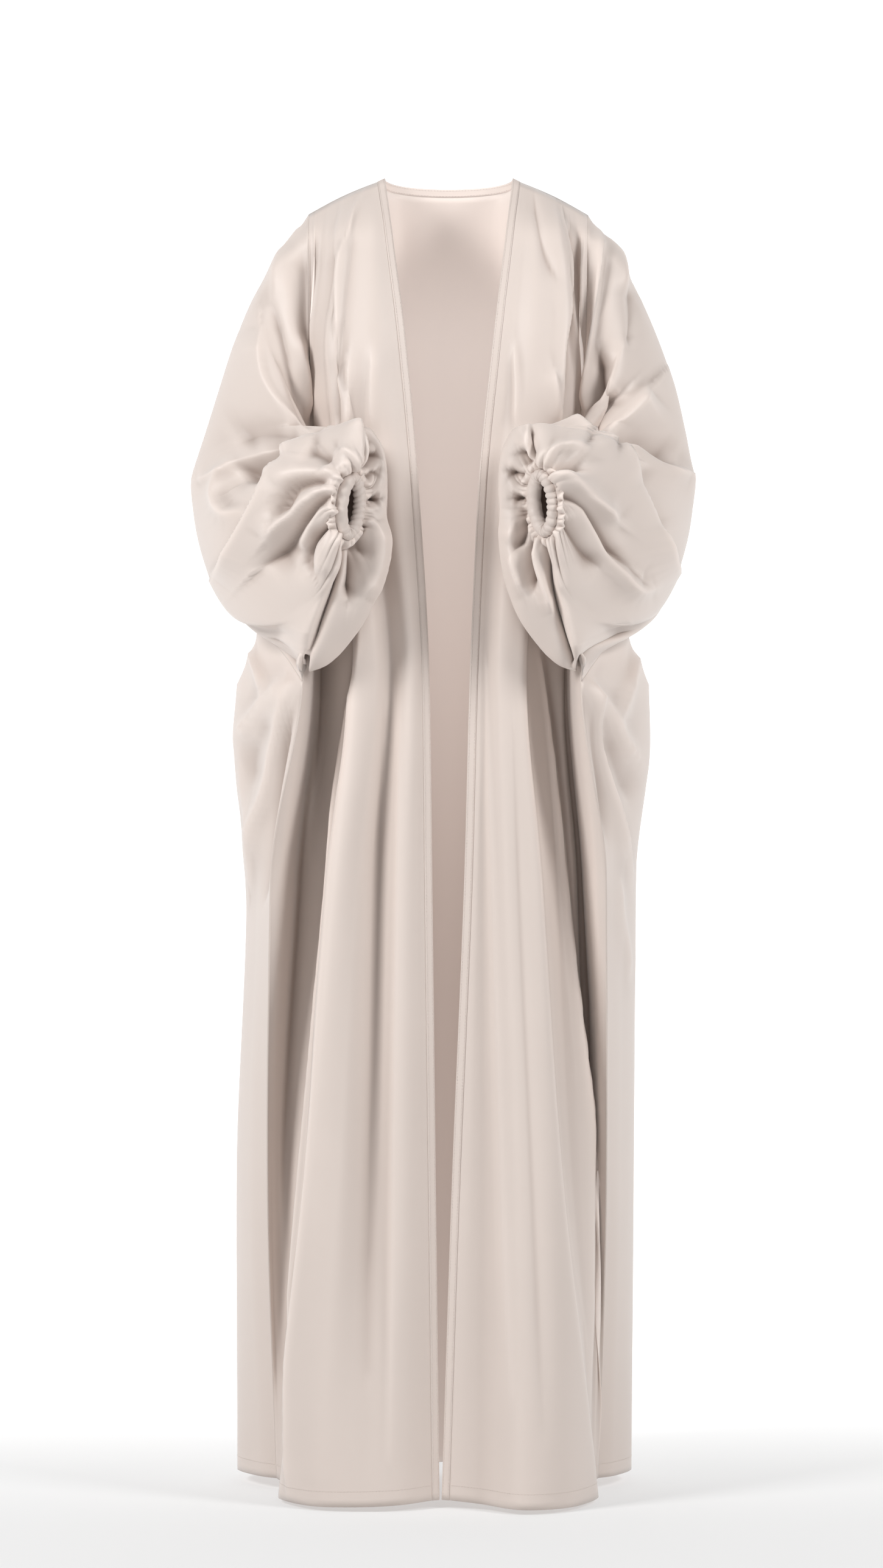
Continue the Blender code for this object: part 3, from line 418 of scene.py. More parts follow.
def standing_off(fans):
    """The direction that stands off every facet of a fan as evenly as it can."""
    made = unit(fans.sum(0))
    present = np.linalg.norm(fans, axis=-1) > 0.5
    for step in range(NORMAL_STEPS):
        lean = np.where(present, (fans * made).sum(-1), 2.0)
        least = np.take_along_axis(fans, lean.argmin(0)[None, ..., None], axis=0)[0]
        made = unit(made + least * (0.5 / (step + 1)))
    return made


# Picture units: a fold's path is given in the plane of the shoulders, as windows of
# (left, top, steps to a unit) that share one scale of 0.697 mm to a unit.
UNIT = 0.000697
AXIS_AT = (727.0, 294.0)
VIEW_DISTANCE = 5.0
VIEW_HEIGHT = -0.693
WINDOWS = {
    "L": (300.0, 640.0, 3.0),
    "R": (710.0, 640.0, 3.0),
    "T": (380.0, 270.0, 2.0),
    "P": (0.0, 0.0, 1.0),
    "A": (370.0, 1060.0, 3.0),
    "B": (606.7, 1060.0, 3.0),
}

FOLDS = {
    # (piece, window): rows of height mm, width mm to the walker's left, and right, then the path
    ("sleeve_left", "L"): (
        (9, 28, 5, (630, 240), (545, 290), (490, 345), (440, 500), (330, 700), (230, 850), (165, 915)),
        (-10, 10, 15, (520, 342), (480, 344), (420, 358), (350, 395), (300, 440)),
        (5, 7, 12, (490, 270), (430, 300), (350, 330), (250, 375), (190, 450), (175, 530), (215, 605),
         (285, 600)),
        (-4, 16, 20, (600, 255), (480, 215), (350, 220), (270, 265)),
        (2, 5, 8, (235, 400), (160, 425), (80, 445)),
        (-9, 15, 5, (735, 440), (690, 437), (620, 452), (560, 485), (520, 560), (490, 640)),
        (5, 4, 15, (760, 405), (715, 425), (640, 432), (570, 460), (530, 500)),
        (7, 5, 15, (745, 500), (700, 502), (640, 545), (560, 625), (450, 745)),
        (-9, 22, 6, (740, 520), (690, 532), (630, 592), (560, 690), (470, 800), (400, 870)),
        (7, 10, 12, (745, 585), (690, 595), (640, 655), (600, 725), (585, 800)),
        (-8, 9, 6, (765, 650), (700, 682), (650, 717), (615, 770), (605, 830), (640, 900)),
        (4, 14, 14, (770, 690), (720, 740), (680, 820), (660, 900)),
        (-8, 4, 4, (785, 690), (803, 770), (790, 870), (722, 1020), (672, 1150), (622, 1290), (587, 1385)),
        (4, 4, 20, (795, 780), (778, 870), (705, 1020), (655, 1150), (605, 1290)),
        (-9, 7, 9, (880, 730), (852, 880), (835, 960), (820, 1040)),
        (-6, 4, 6, (893, 640), (900, 740), (905, 830)),
        (-5, 4, 4, (815, 740), (805, 810)),
        (6, 14, 12, (940, 650), (960, 760), (940, 880), (880, 1020)),
        (7, 3, 16, (872, 160), (884, 250), (885, 340), (872, 390)),
        (-9, 12, 4, (897, 180), (912, 270), (900, 350), (885, 400)),
        (4, 5, 5, (788, 310), (820, 360), (840, 400)),
        (-5, 16, 14, (740, 360), (690, 330), (620, 300)),
        (-6, 5, 5, (975, 300), (940, 345), (912, 385)),
        (-5, 5, 5, (965, 400), (930, 430), (900, 450)),
        (-8, 5, 6, (978, 540), (930, 546), (890, 560)),
        (-5, 8, 8, (400, 1240), (480, 1290), (560, 1380)),
    ),
    ("sleeve_left", "T"): (
        (5, 4, 26, (100, 540), (110, 680), (145, 760), (255, 890)),
        (-4, 5, 9, (140, 470), (175, 600), (205, 740), (250, 860)),
        (4, 8, 8, (215, 560), (240, 700), (254, 840)),
        (4, 22, 22, (165, 280), (190, 430), (212, 600), (236, 760)),
        (3, 10, 7, (250, 190), (200, 250), (160, 330), (148, 440)),
        (-8, 3, 10, (255, 300), (256, 400), (256, 500), (262, 600)),
    ),
    ("sleeve_right", "R"): (
        (9, 5, 28, (610, 152), (700, 180), (790, 255), (850, 312), (930, 400), (1000, 500), (1080, 660),
         (1150, 830), (1215, 920)),
        (-8, 6, 6, (850, 318), (900, 332), (950, 347)),
        (-4, 14, 10, (960, 430), (1040, 560), (1110, 720)),
        (6, 6, 16, (845, 305), (900, 296), (960, 298), (1020, 325), (1100, 368), (1180, 398), (1262, 412)),
        (-7, 18, 6, (840, 285), (900, 272), (980, 276), (1080, 330), (1180, 372)),
        (3, 5, 5, (860, 324), (900, 354), (960, 382), (1022, 388)),
        (8, 28, 5, (1050, 0), (985, 70), (920, 140), (850, 210), (790, 258)),
        (-10, 8, 14, (940, 20), (880, 90), (820, 180), (790, 240)),
        (-9, 6, 16, (600, 500), (680, 525), (750, 590), (820, 690), (880, 790), (950, 870)),
        (7, 14, 5, (570, 400), (640, 445), (700, 505), (780, 580), (880, 655)),
        (7, 12, 12, (640, 560), (700, 560), (770, 640), (830, 760), (890, 870), (990, 985), (1070, 975)),
        (-6, 10, 14, (640, 620), (700, 700), (760, 800), (830, 880)),
        (-7, 6, 6, (560, 380), (600, 400), (660, 400), (720, 410)),
        (5, 9, 6, (555, 360), (590, 320), (650, 310), (720, 340)),
        (-8, 4, 4, (530, 735), (570, 880), (622, 1090), (650, 1200), (690, 1350), (706, 1390)),
        (4, 20, 4, (590, 880), (640, 1080), (668, 1190), (704, 1340)),
        (-8, 6, 7, (462, 560), (450, 640), (435, 720), (410, 800)),
        (-8, 7, 6, (470, 740), (478, 830), (490, 920), (500, 990)),
        (6, 10, 10, (410, 640), (400, 760), (420, 880), (470, 1010)),
        (5, 7, 7, (505, 740), (520, 860), (560, 980), (600, 1100)),
        (-7, 6, 6, (430, 290), (455, 340), (475, 380)),
        (-6, 5, 6, (375, 400), (410, 415), (450, 435)),
        (-5, 5, 5, (490, 180), (492, 260), (496, 340)),
        (4, 5, 5, (470, 190), (472, 270), (480, 350)),
        (-7, 5, 6, (395, 535), (430, 535), (465, 545)),
        (-5, 10, 10, (720, 1370), (800, 1300), (900, 1245), (1000, 1185)),
    ),
    ("sleeve_right", "T"): (
        (6, 3, 12, (1197, 215), (1200, 330), (1190, 500), (1172, 720), (1157, 880)),
        (-8, 10, 4, (1210, 620), (1203, 700), (1192, 780), (1176, 870)),
        (5, 5, 11, (1210, 225), (1255, 300), (1280, 380), (1285, 430)),
        (-4, 9, 8, (1302, 400), (1312, 480), (1305, 600)),
        (4, 22, 22, (1238, 240), (1240, 400), (1228, 560), (1212, 660)),
    ),
    ("front_left", "T"): (
        (4, 14, 4, (372, 250), (349, 330), (343, 450), (349, 560)),
        (-4, 6, 10, (334, 290), (326, 400), (332, 520)),
        (2.5, 5, 5, (440, 92), (402, 160), (382, 230)),
        (5, 12, 4, (388, 640), (377, 760), (373, 870)),
        (-5, 8, 12, (357, 640), (347, 760), (342, 880)),
        (4, 10, 3, (274, 190), (271, 300), (271, 480), (277, 700), (280, 880)),
        (3, 10, 6, (468, 600), (462, 740), (458, 880)),
    ),
    ("front_left", "P"): (
        (9, 26, 3, (590, 1020), (586, 1110), (570, 1247), (552, 1440), (533, 1660), (505, 1950),
         (480, 2300), (472, 2600)),
        (-7, 3, 16, (578, 1020), (572, 1110), (556, 1247), (538, 1440), (519, 1660), (492, 1950),
         (468, 2250)),
        (2.5, 4, 2.5, (588, 1060), (583, 1140), (567, 1280), (549, 1470), (530, 1690), (503, 1980),
         (480, 2300)),
        (-3, 9, 14, (628, 1180), (622, 1480), (617, 1693), (608, 1923), (602, 2250)),
        (3, 10, 5, (660, 1100), (655, 1400), (648, 1800), (640, 2400)),
    ),
    ("front_right", "T"): (
        (6, 3, 14, (1092, 200), (1100, 330), (1097, 500), (1083, 640), (1068, 850)),
        (-8, 7, 4, (1113, 220), (1121, 350), (1117, 500), (1104, 640), (1093, 850)),
        (5, 8, 8, (1150, 230), (1154, 400), (1146, 600), (1132, 860)),
        (-3.5, 5, 9, (990, 92), (1010, 200), (1040, 320), (1075, 385)),
        (2.5, 5, 5, (930, 600), (938, 740), (935, 860)),
        (4, 3, 10, (1048, 680), (1058, 770), (1064, 860)),
    ),
    ("front_right", "P"): (
        (3, 5, 12, (800, 1100), (812, 1500), (824, 1900), (838, 2300)),
        (2.5, 2.5, 4, (884, 1090), (908, 1280), (934, 1520), (960, 1820), (977, 2120), (985, 2380)),
        (-3, 9, 14, (842, 1200), (858, 1600), (874, 1950), (892, 2350)),
        (8, 3, 26, (880, 1060), (905, 1260), (930, 1500), (958, 1800), (975, 2100), (985, 2400)),
        (-4, 14, 3, (894, 1060), (919, 1260), (944, 1500), (966, 1760)),
    ),
    ("back", "A"): (
        (6, 4, 14, (338, 215), (300, 350), (250, 520), (215, 720), (165, 900), (135, 1110), (128, 1190)),
        (-6, 4, 5, (330, 330), (285, 520), (245, 760), (212, 1000), (190, 1250)),
        (7, 18, 9, (330, 178), (220, 280), (140, 370), (60, 450)),
        (-4, 20, 16, (240, 340), (180, 440), (130, 560), (140, 700)),
        (5, 4, 9, (128, 20), (180, 150), (213, 232)),
        (3, 8, 8, (66, 560), (98, 720), (150, 880), (160, 1020)),
    ),
    ("back", "B"): (
        (6, 4, 9, (1045, 150), (1090, 230), (1112, 400), (1150, 600), (1190, 750), (1230, 900),
         (1262, 1050), (1288, 1150)),
        (-6, 5, 5, (1085, 300), (1105, 500), (1135, 720), (1152, 950)),
        (6, 9, 9, (1060, 190), (1130, 280), (1200, 400), (1260, 500), (1330, 580)),
        (5, 12, 5, (1318, 20), (1270, 200), (1200, 370)),
        (-4, 14, 14, (1170, 430), (1235, 600), (1290, 760)),
        (3, 6, 6, (1225, 1150), (1230, 1300), (1260, 1500), (1275, 1640)),
    ),
}
FOLD_GAIN = {"L": 2.4, "R": 2.4, "T": 1.7, "P": 1.3, "A": 2.0, "B": 2.0}
FOLD_SHADE = {"L": 1.0, "R": 1.0, "T": 0.35, "P": 0.15, "A": 0.25, "B": 0.25}
GATHER_RINGS = (
    # folds round the cuff, height mm, reach in share of the sleeve, phase, share kept on the front
    (31, 2.1, 0.11, 0.3, 1.0),
    (15, 4.6, 0.15, 1.1, 0.9),
    (8, 6.0, 0.30, 2.0, 0.25),
)
BACK_DRAGS = 8
BACK_DRAG_HEIGHT = 0.0022
SLEEVE_DRAGS = 9
SLEEVE_DRAG_HEIGHT = 0.0030
PATH_STEPS = 4
FOLD_SHARPNESS = 1.3
# Painted shading: the fold depth that gives full painted shade, the share that depth gives, and the gain
# from how sharply the cloth bends.
DEEP_FOLD = 0.014
DEPTH_SHARE = 0.55
BEND_GAIN = 1.3
FADE_ROWS = 4
FADE_COLUMNS = 6
CUFF_FADE_ROWS = 10

# The front hems hang lower than their rows, most in the middle of each panel.
HEM_FROM = -1.15
HEM_DROP = 0.010
EDGE_DROP = 0.35

# The hem's stitches stand this share of the panel's rows above the edge, and each
# line of stitches stands off the cloth by a share of its wall.
HEM_SHARE = 0.013
HEM_LIFT = 0.6
BAND_LIFT = 0.55
BAND_COLUMNS = 6
STITCH_LENGTH = 0.0032
STITCH_PITCH = 0.0036
STITCH_THICK = 0.00020


# The crepe: noises as (scale, detail), the tint's range, and the painted shade in hollows and painted
# highlight on ridges that the painted shading value sets.
CLOTH_TINT = (0.67, 0.585, 0.535)
TINT_RANGE = (0.97, 1.02)
CLOUD = (9.0, 3.0)
GRAIN = (1700.0, 2.0)
SLUB = (420.0, 3.0)
# Painted shade in hollows and painted highlight on ridges: the hollow colour as shares of the tint and its
# strength, then the ridge colour's lift, its cap and its strength.
HOLLOW_PAINTED_SHADE = (0.42, 0.36, 0.33)
PAINTED_SHADE_GAIN = 0.85
RIDGE_PAINTED_HIGHLIGHT = 1.3
PAINTED_HIGHLIGHT_LIMIT = 0.95
PAINTED_HIGHLIGHT_GAIN = 0.6

# Painted glow on the cloth's inner faces, standing in for light that comes through the cloth: (height,
# share) where it starts and ends to change.
GLOW_COLOUR = (0.66, 0.61, 0.585, 1)
GLOW_BODY = ((-1.0, 0.34), (-0.05, 1.0))
GLOW_NECK = ((-0.20, 1.0), (-0.03, 0.60))

# The casing's roll, in shares of its tube: plump on the inner side, ruched on the outer.
CUFF_AROUND = 288
CUFF_TURNS = 36
CUFF_PLUMP = (1.42, 1.18)
CUFF_SOFT = (0.045, 0.04)
CUFF_RUCHES = 25
CUFF_RUCHED = 0.17
CUFF_RUCHED_INNER = 0.12


def picture_point(window, point):
    """A point given in a window, in picture units."""
    left, top, step = WINDOWS[window]
    return left + point[0] / step, top + point[1] / step


def seen_at(surface):
    """Where each point shows in the picture's plane, in picture units."""
    near = VIEW_DISTANCE / (VIEW_DISTANCE + surface[..., 1])
    across = AXIS_AT[0] + surface[..., 0] * near / UNIT
    height = VIEW_HEIGHT + (surface[..., 2] - VIEW_HEIGHT) * near
    return np.stack([across, AXIS_AT[1] - height / UNIT], axis=-1)


def edge_fade(shape, closed=False, last_rows=FADE_ROWS):
    """Zero at a panel's seams and one a few points in, so that folds meet their neighbours."""
    down = np.arange(shape[0])
    fade = np.minimum(np.clip(down / FADE_ROWS, 0, 1), np.clip(down[::-1] / last_rows, 0, 1))
    fade = fade[:, None] * np.ones(shape[1])
    if not closed:
        across = np.arange(shape[1])
        fade = fade * np.clip(np.minimum(across, across[::-1]) / FADE_COLUMNS, 0, 1)
    return fade


def folds_of(name):
    """A piece's folds, each with the window that its path is given in."""
    return [(window, fold) for (piece, window), folds in FOLDS.items() if piece == name for fold in folds]


def folded(name, surface, normals, fade):
    """Raises and sinks the surface along the folds given for a piece."""
    seen = seen_at(surface)
    facing = np.clip(-normals[..., 1] * 2.2 + 0.25, 0, 1)
    moved = np.zeros(surface.shape[:2])
    shade = np.zeros(surface.shape[:2])
    for window, (height, left, right, *drawn) in folds_of(name):
        height, left, right = height * MM, left * MM / UNIT, right * MM / UNIT
        last = len(drawn) - 1
        path = through([picture_point(window, p) for p in drawn],
                       np.linspace(0, last - 0.001, last * PATH_STEPS + 1))
        nearest = np.full(surface.shape[:2], 1e9)
        signed = np.zeros(surface.shape[:2])
        along = np.zeros(surface.shape[:2])
        reach = np.concatenate([[0.0], np.cumsum(np.linalg.norm(np.diff(path, axis=0), axis=1))])
        for k in range(len(path) - 1):
            run = path[k + 1] - path[k]
            t = np.clip(((seen - path[k]) @ run) / (run @ run), 0, 1)
            off = seen - path[k] - t[..., None] * run
            far = np.linalg.norm(off, axis=-1)
            closer = far < nearest
            side = np.where(off[..., 0] * run[1] - off[..., 1] * run[0] > 0, 1.0, -1.0)
            signed = np.where(closer, side * far, signed)
            along = np.where(closer, (reach[k] + t * (reach[k + 1] - reach[k])) / reach[-1], along)
            nearest = np.minimum(far, nearest)
        width = np.where(signed > 0, left, right)
        taper = np.clip(np.sin(math.pi * (0.06 + 0.88 * along)) * 1.6, 0, 1)
        profile = np.exp(-(nearest / width) ** FOLD_SHARPNESS)
        rise = FOLD_GAIN[window] * height * taper * profile * facing * fade
        moved += rise
        # Each fold's share of the painted shade and painted highlight.
        shade += FOLD_SHADE[window] * rise
    return surface + normals * moved[..., None], shade


def ripple(wave):
    """A gather's cross-section: rounded ridges with narrow valleys between them."""
    return np.abs(np.cos(wave / 2)) ** 0.8 * 2 - 1.15


def gathered(surface, stations, angle, normals):
    """Raises the gathers that run out from the cuff, uneven in height and length."""
    moved = np.zeros(surface.shape[:2])
    facing = np.clip(-normals[..., 1] * 2, 0, 1)
    for count, height, reach, phase, front_share in GATHER_RINGS:
        sway = 0.5 * np.sin(3 * angle + phase) + 0.3 * np.sin(5 * angle + 2.3 * phase)
        wave = count * angle + sway * 1.6 + phase
        uneven = 0.75 + 0.35 * np.sin(wave / 2.0 + phase) * np.sin(2 * angle + phase)
        length = reach * (1 + 0.35 * np.sin(2 * angle + phase) + 0.2 * np.sin(wave / 2))
        rise = np.clip((stations[:, None] - 1 + length) / (length * 0.8), 0, 1)
        rise = rise * rise * (3 - 2 * rise)
        fall = np.clip((1.0 - stations) / 0.035, 0, 1)
        seen = 1 + (front_share - 1) * facing
        moved += height * MM * rise * fall[:, None] * (uneven * ripple(wave))[None, :] * seen
    return surface + normals * moved[..., None], moved


def hidden_drags(along, around, normals, count, height):
    """Soft folds on the side that the picture doesn't show, like those that it does."""
    behind = np.clip(normals[..., 1] * 2.5 - 0.2, 0, 1)
    sway = 1.4 * np.sin(math.pi * along * 1.3 + 0.6) + 0.6 * np.sin(2 * around + 1.0)
    wave = np.sin(count * around + sway) + 0.5 * np.sin(count * 1.7 * around - 1.6 * sway)
    uneven = 0.65 + 0.35 * np.sin(3 * around + 4 * along)
    return height * behind * np.sin(math.pi * np.clip(along, 0, 1)) * uneven * wave


def smooth_grid(values, steps, closed):
    """Evens a grid's values with its neighbours'."""
    for _ in range(steps):
        padded = np.pad(values, ((1, 1), (1, 1)) + ((0, 0),) * (values.ndim - 2), mode="edge")
        if closed:
            padded[1:-1, 0], padded[1:-1, -1] = values[:, -1], values[:, 0]
        values = (values * 4 + padded[:-2, 1:-1] + padded[2:, 1:-1]
                  + padded[1:-1, :-2] + padded[1:-1, 2:]) / 8
    return values


def painted_shading_of(grid, normals, moved, closed=False):
    """The painted shading at each point, from how far it lies in a hollow: full painted shade (one) deep in
    a fold, full painted highlight (minus one) on a sharp ridge.
    """
    rows, columns = grid.shape[:2]
    painted_shading = np.clip(-moved / DEEP_FOLD, 0, 1) * DEPTH_SHARE
    for step in (2, 4):
        down, across = np.arange(rows), np.arange(columns)
        above, below = grid[np.clip(down - step, 0, None)], grid[np.clip(down + step, None, rows - 1)]
        if closed:
            left, right = np.roll(grid, step, axis=1), np.roll(grid, -step, axis=1)
        else:
            left = grid[:, np.clip(across - step, 0, None)]
            right = grid[:, np.clip(across + step, None, columns - 1)]
        for one, other in ((above, below), (left, right)):
            rise = (((one + other) / 2 - grid) * normals).sum(axis=-1)
            painted_shading = painted_shading + BEND_GAIN * rise / np.maximum(np.linalg.norm(one - other, axis=-1), 0.002)
    return smooth_grid(np.clip(painted_shading, -1, 1), 1, closed)


def made_mesh(name, points, faces, material):
    """A smooth-shaded mesh object of one material, linked to the scene."""
    mesh = bpy.data.meshes.new(name)
    mesh.from_pydata(np.asarray(points).tolist(), [], [list(face) for face in faces])
    mesh.materials.append(material)
    mesh.shade_smooth()
    obj = bpy.data.objects.new(name, mesh)
    bpy.context.scene.collection.objects.link(obj)
    return obj


def cloth_normals(grid, steps, closed=False):
    """The normals of a grid of cloth, evened with their neighbours'."""
    return smooth_grid(standing_off(facet_fans(grid, closed)), steps, closed)


def turned_out(points, faces):
    """The faces as they are, or all turned over where they enclose a negative volume."""
    corner = points[faces]
    volume = np.einsum("ij,ij->i", corner[:, 0], np.cross(corner[:, 1], corner[:, 2])).sum()
    return faces[:, ::-1] if volume < 0 else faces


def cloth_shell(name, grid, material, closed=False, wall=WALL, front=True, moved=None, inner=None):
    """A thin cloth wall about a grid of points, with its edges closed."""
    normals = cloth_normals(grid, 1, closed)
    if (normals[..., 1].sum() > 0) == front:
        normals = -normals
    rows, columns = grid.shape[:2]
    half = wall / 2
    points = np.concatenate([(grid + normals * half).reshape(-1, 3), (grid - normals * half).reshape(-1, 3)])
    layer = rows * columns
    i, j = np.meshgrid(np.arange(rows - 1), np.arange(columns if closed else columns - 1), indexing="ij")
    a = (i * columns + j).ravel()
    d = (i * columns + (j + 1) % columns).ravel()
    b, c = a + columns, d + columns
    across = np.arange(columns if closed else columns - 1)
    after = (across + 1) % columns
    low = (rows - 1) * columns
    sheets = [np.stack([a, b, c, d], 1), np.stack([a + layer, d + layer, c + layer, b + layer], 1),
              np.stack([after, after + layer, across + layer, across], 1),
              np.stack([low + across, low + across + layer, low + after + layer, low + after], 1)]
    if not closed:
        down = np.arange(rows - 1) * columns
        sheets.append(np.stack([down, down + layer, down + columns + layer, down + columns], 1))
        end = down + columns - 1
        sheets.append(np.stack([end + columns, end + columns + layer, end + layer, end], 1))
    faces = turned_out(points, np.concatenate(sheets))
    made = made_mesh(name, points, faces, material)
    made.data.materials.append(inner or glowing_inside_cloth)
    inside = np.zeros(len(faces), int)
    inside[len(a):2 * len(a)] = 1
    made.data.polygons.foreach_set("material_index", inside)
    # The outer layer carries the painted shading value for painted shade in hollows and painted highlight on
    # ridges; the inner layer gets none.
    if moved is not None:
        painted_shading = made.data.attributes.new("painted_shading", "FLOAT", "POINT")
        outer = painted_shading_of(grid, normals, moved, closed).ravel()
        painted_shading.data.foreach_set("value", np.concatenate([outer, np.zeros(layer)]))
    return made, normals


def add_node(material, kind, values=(), **settings):
    """Adds a shader node with its settings and input values."""
    made = material.node_tree.nodes.new("ShaderNode" + kind)
    for key, value in settings.items():
        setattr(made, key, value)
    for key, value in dict(values).items():
        made.inputs[key].default_value = value
    return made


def cloth_noise(material, scale, detail):
    """A noise that lies in the part's own space."""
    noise = add_node(material, "TexNoise", {"Scale": scale, "Detail": detail})
    place = add_node(material, "TexCoord")
    material.node_tree.links.new(place.outputs["Object"], noise.inputs["Vector"])
    return noise.outputs["Fac"]


def fading(material, axis, start, end):
    """A value that runs smoothly between two, each given as (place on the axis, value)."""
    place = add_node(material, "TexCoord")
    split = add_node(material, "SeparateXYZ")
    fall = add_node(material, "MapRange", {"From Min": start[0], "From Max": end[0],
                                           "To Min": start[1], "To Max": end[1]},
                    interpolation_type="SMOOTHSTEP")
    material.node_tree.links.new(place.outputs["Object"], split.inputs["Vector"])
    material.node_tree.links.new(split.outputs[axis], fall.inputs["Value"])
    return fall.outputs["Result"]


def crepe(name, tint, rough=0.5, painted_glow=0.0):
    """A pale satin-backed crepe: soft sheen, a fine grain and a little unevenness of colour, with painted
    shade in hollows, painted highlight on ridges and, when asked, a painted glow standing in for light that
    comes through the cloth.
    """
    material = bpy.data.materials.new(name)
    material.use_nodes = True
    links = material.node_tree.links
    shader = material.node_tree.nodes["Principled BSDF"]
    mix = add_node(material, "Mix", data_type="RGBA")
    mix.inputs["A"].default_value = (*[c * TINT_RANGE[0] for c in tint], 1)
    mix.inputs["B"].default_value = (*[min(c * TINT_RANGE[1], 1) for c in tint], 1)
    links.new(cloth_noise(material, *CLOUD), mix.inputs["Factor"])
    # Painted shade: the colour darkens towards the hollow colour in creases; painted highlight: it lightens
    # towards the ridge colour on ridges.
    painted_shading = add_node(material, "Attribute", attribute_name="painted_shading")
    colour = mix.outputs["Result"]
    hollow = [c * k for c, k in zip(tint, HOLLOW_PAINTED_SHADE)]
    ridge = [min(c * RIDGE_PAINTED_HIGHLIGHT, PAINTED_HIGHLIGHT_LIMIT) for c in tint]
    for gain, shade in ((PAINTED_SHADE_GAIN, hollow), (-PAINTED_HIGHLIGHT_GAIN, ridge)):
        share = add_node(material, "Math", {1: gain}, operation="MULTIPLY", use_clamp=True)
        blend = add_node(material, "Mix", data_type="RGBA")
        blend.inputs["B"].default_value = (*shade, 1)
        links.new(painted_shading.outputs["Fac"], share.inputs[0])
        links.new(share.outputs[0], blend.inputs["Factor"])
        links.new(colour, blend.inputs["A"])
        colour = blend.outputs["Result"]
    links.new(colour, shader.inputs["Base Color"])
    relief = add_node(material, "Math", operation="ADD")
    bump = add_node(material, "Bump", {"Strength": 0.10, "Distance": 0.0003})
    links.new(cloth_noise(material, *GRAIN), relief.inputs[0])
    links.new(cloth_noise(material, *SLUB), relief.inputs[1])
    links.new(relief.outputs[0], bump.inputs["Height"])
    links.new(bump.outputs["Normal"], shader.inputs["Normal"])
    # Painted glow: emission that stands in for light coming through the cloth, changing in strength with
    # height.
    if painted_glow:
        body = add_node(material, "Math", {1: painted_glow}, operation="MULTIPLY")
        both = add_node(material, "Math", operation="MULTIPLY")
        links.new(fading(material, "Z", *GLOW_BODY), body.inputs[0])
        links.new(fading(material, "Z", *GLOW_NECK), both.inputs[0])
        links.new(body.outputs[0], both.inputs[1])
        links.new(both.outputs[0], shader.inputs["Emission Strength"])
    for key, value in {"Roughness": rough, "Specular IOR Level": 0.35, "Emission Color": GLOW_COLOUR,
                       "Sheen Weight": 0.30, "Sheen Roughness": 0.45}.items():
        shader.inputs[key].default_value = value
    return material


def cuff_ring(side, material):
    """The elastic casing: a soft ruched roll, fatter on the inner side."""
    sign = SIDES[side]
    around, turns = CUFF_AROUND, CUFF_TURNS
    angle = np.arange(around) * 2 * math.pi / around
    axis = ring_frame(side)[3]
    line = ring_points(side, angle)
    outward = unit(ring_points(side, angle, 1.0) - line)
    turn = np.arange(turns) * 2 * math.pi / turns
    theta, phi = np.meshgrid(angle, turn, indexing="ij")
    far = (0.5 - 0.5 * sign * np.sin(theta)) ** 1.5
    soft = CUFF_SOFT[0] * np.sin(17 * theta + 1.3 * np.sin(phi)) + CUFF_SOFT[1] * np.sin(9 * theta - 2 * phi)
    wave = CUFF_RUCHES * theta + 1.9 * np.sin(phi + 0.4) + 1.5 * np.sin(4 * theta)
    ruched = CUFF_RUCHED * ripple(wave) * (CUFF_RUCHED_INNER + (1 - CUFF_RUCHED_INNER) * far)
    plump = CUFF_PLUMP[0] + (CUFF_PLUMP[1] - CUFF_PLUMP[0]) * far
    radius = CUFF_TUBE * (plump + soft * (1 - far) + ruched)
    inset = CUFF_TUBE * (plump - 1)[..., None] * outward[:, None]
    points = (line[:, None] - inset + radius[..., None] * (np.cos(phi)[..., None] * outward[:, None]
              + np.sin(phi)[..., None] * axis))
    points = points.reshape(-1, 3) * (sign, 1, 1)
    i, j = np.meshgrid(np.arange(around), np.arange(turns), indexing="ij")
    a, b = (i * turns + j).ravel(), (((i + 1) % around) * turns + j).ravel()
    c, d = (((i + 1) % around) * turns + (j + 1) % turns).ravel(), (i * turns + (j + 1) % turns).ravel()
    faces = turned_out(points, np.stack([a, b, c, d], 1))
    return made_mesh(f"casing_{side}", points, faces, material)


def hem_line(surface, normals):
    """The line of stitches above a panel's hem: its points and their normals."""
    row = -round(len(surface) * HEM_SHARE) - 1
    return surface[row] + normals[row] * WALL * HEM_LIFT, normals[row]


def hem_share(z):
    """How much of the hem's drop a height takes: none above the calf, all at the hem."""
    return np.clip((HEM_FROM - z) / (HEM_FROM - HEM_Z), 0, 1) ** 2


def stitches(name, lines, material):
    """Short raised stitches along lines of (points, normals)."""
    length, pitch, thick = STITCH_LENGTH, STITCH_PITCH, STITCH_THICK
    points, faces = [], []
    for path, normals in lines:
        run = np.concatenate([[0.0], np.cumsum(np.linalg.norm(np.diff(path, axis=0), axis=1))])
        for start in np.arange(pitch / 2, run[-1] - pitch, pitch):
            ends = []
            for at in (start, start + length):
                k = min(np.searchsorted(run, at, side="right") - 1, len(path) - 2)
                t = (at - run[k]) / max(run[k + 1] - run[k], 1e-9)
                ends.append((path[k] + (path[k + 1] - path[k]) * t, normals[k]))
            (p, n), (q, m) = ends
            side = unit(np.cross(q - p, n)) * thick
            middle = (p + q) / 2 + n * thick
            base = len(points)
            points += [p, q, middle + side, middle - side, middle + n * thick * 0.8]
            faces += [(base, base + 2, base + 4), (base + 2, base + 1, base + 4),
                      (base + 1, base + 3, base + 4), (base + 3, base, base + 4),
                      (base, base + 1, base + 2), (base, base + 3, base + 1)]
    return made_mesh(name, np.array(points), np.array(faces), material)


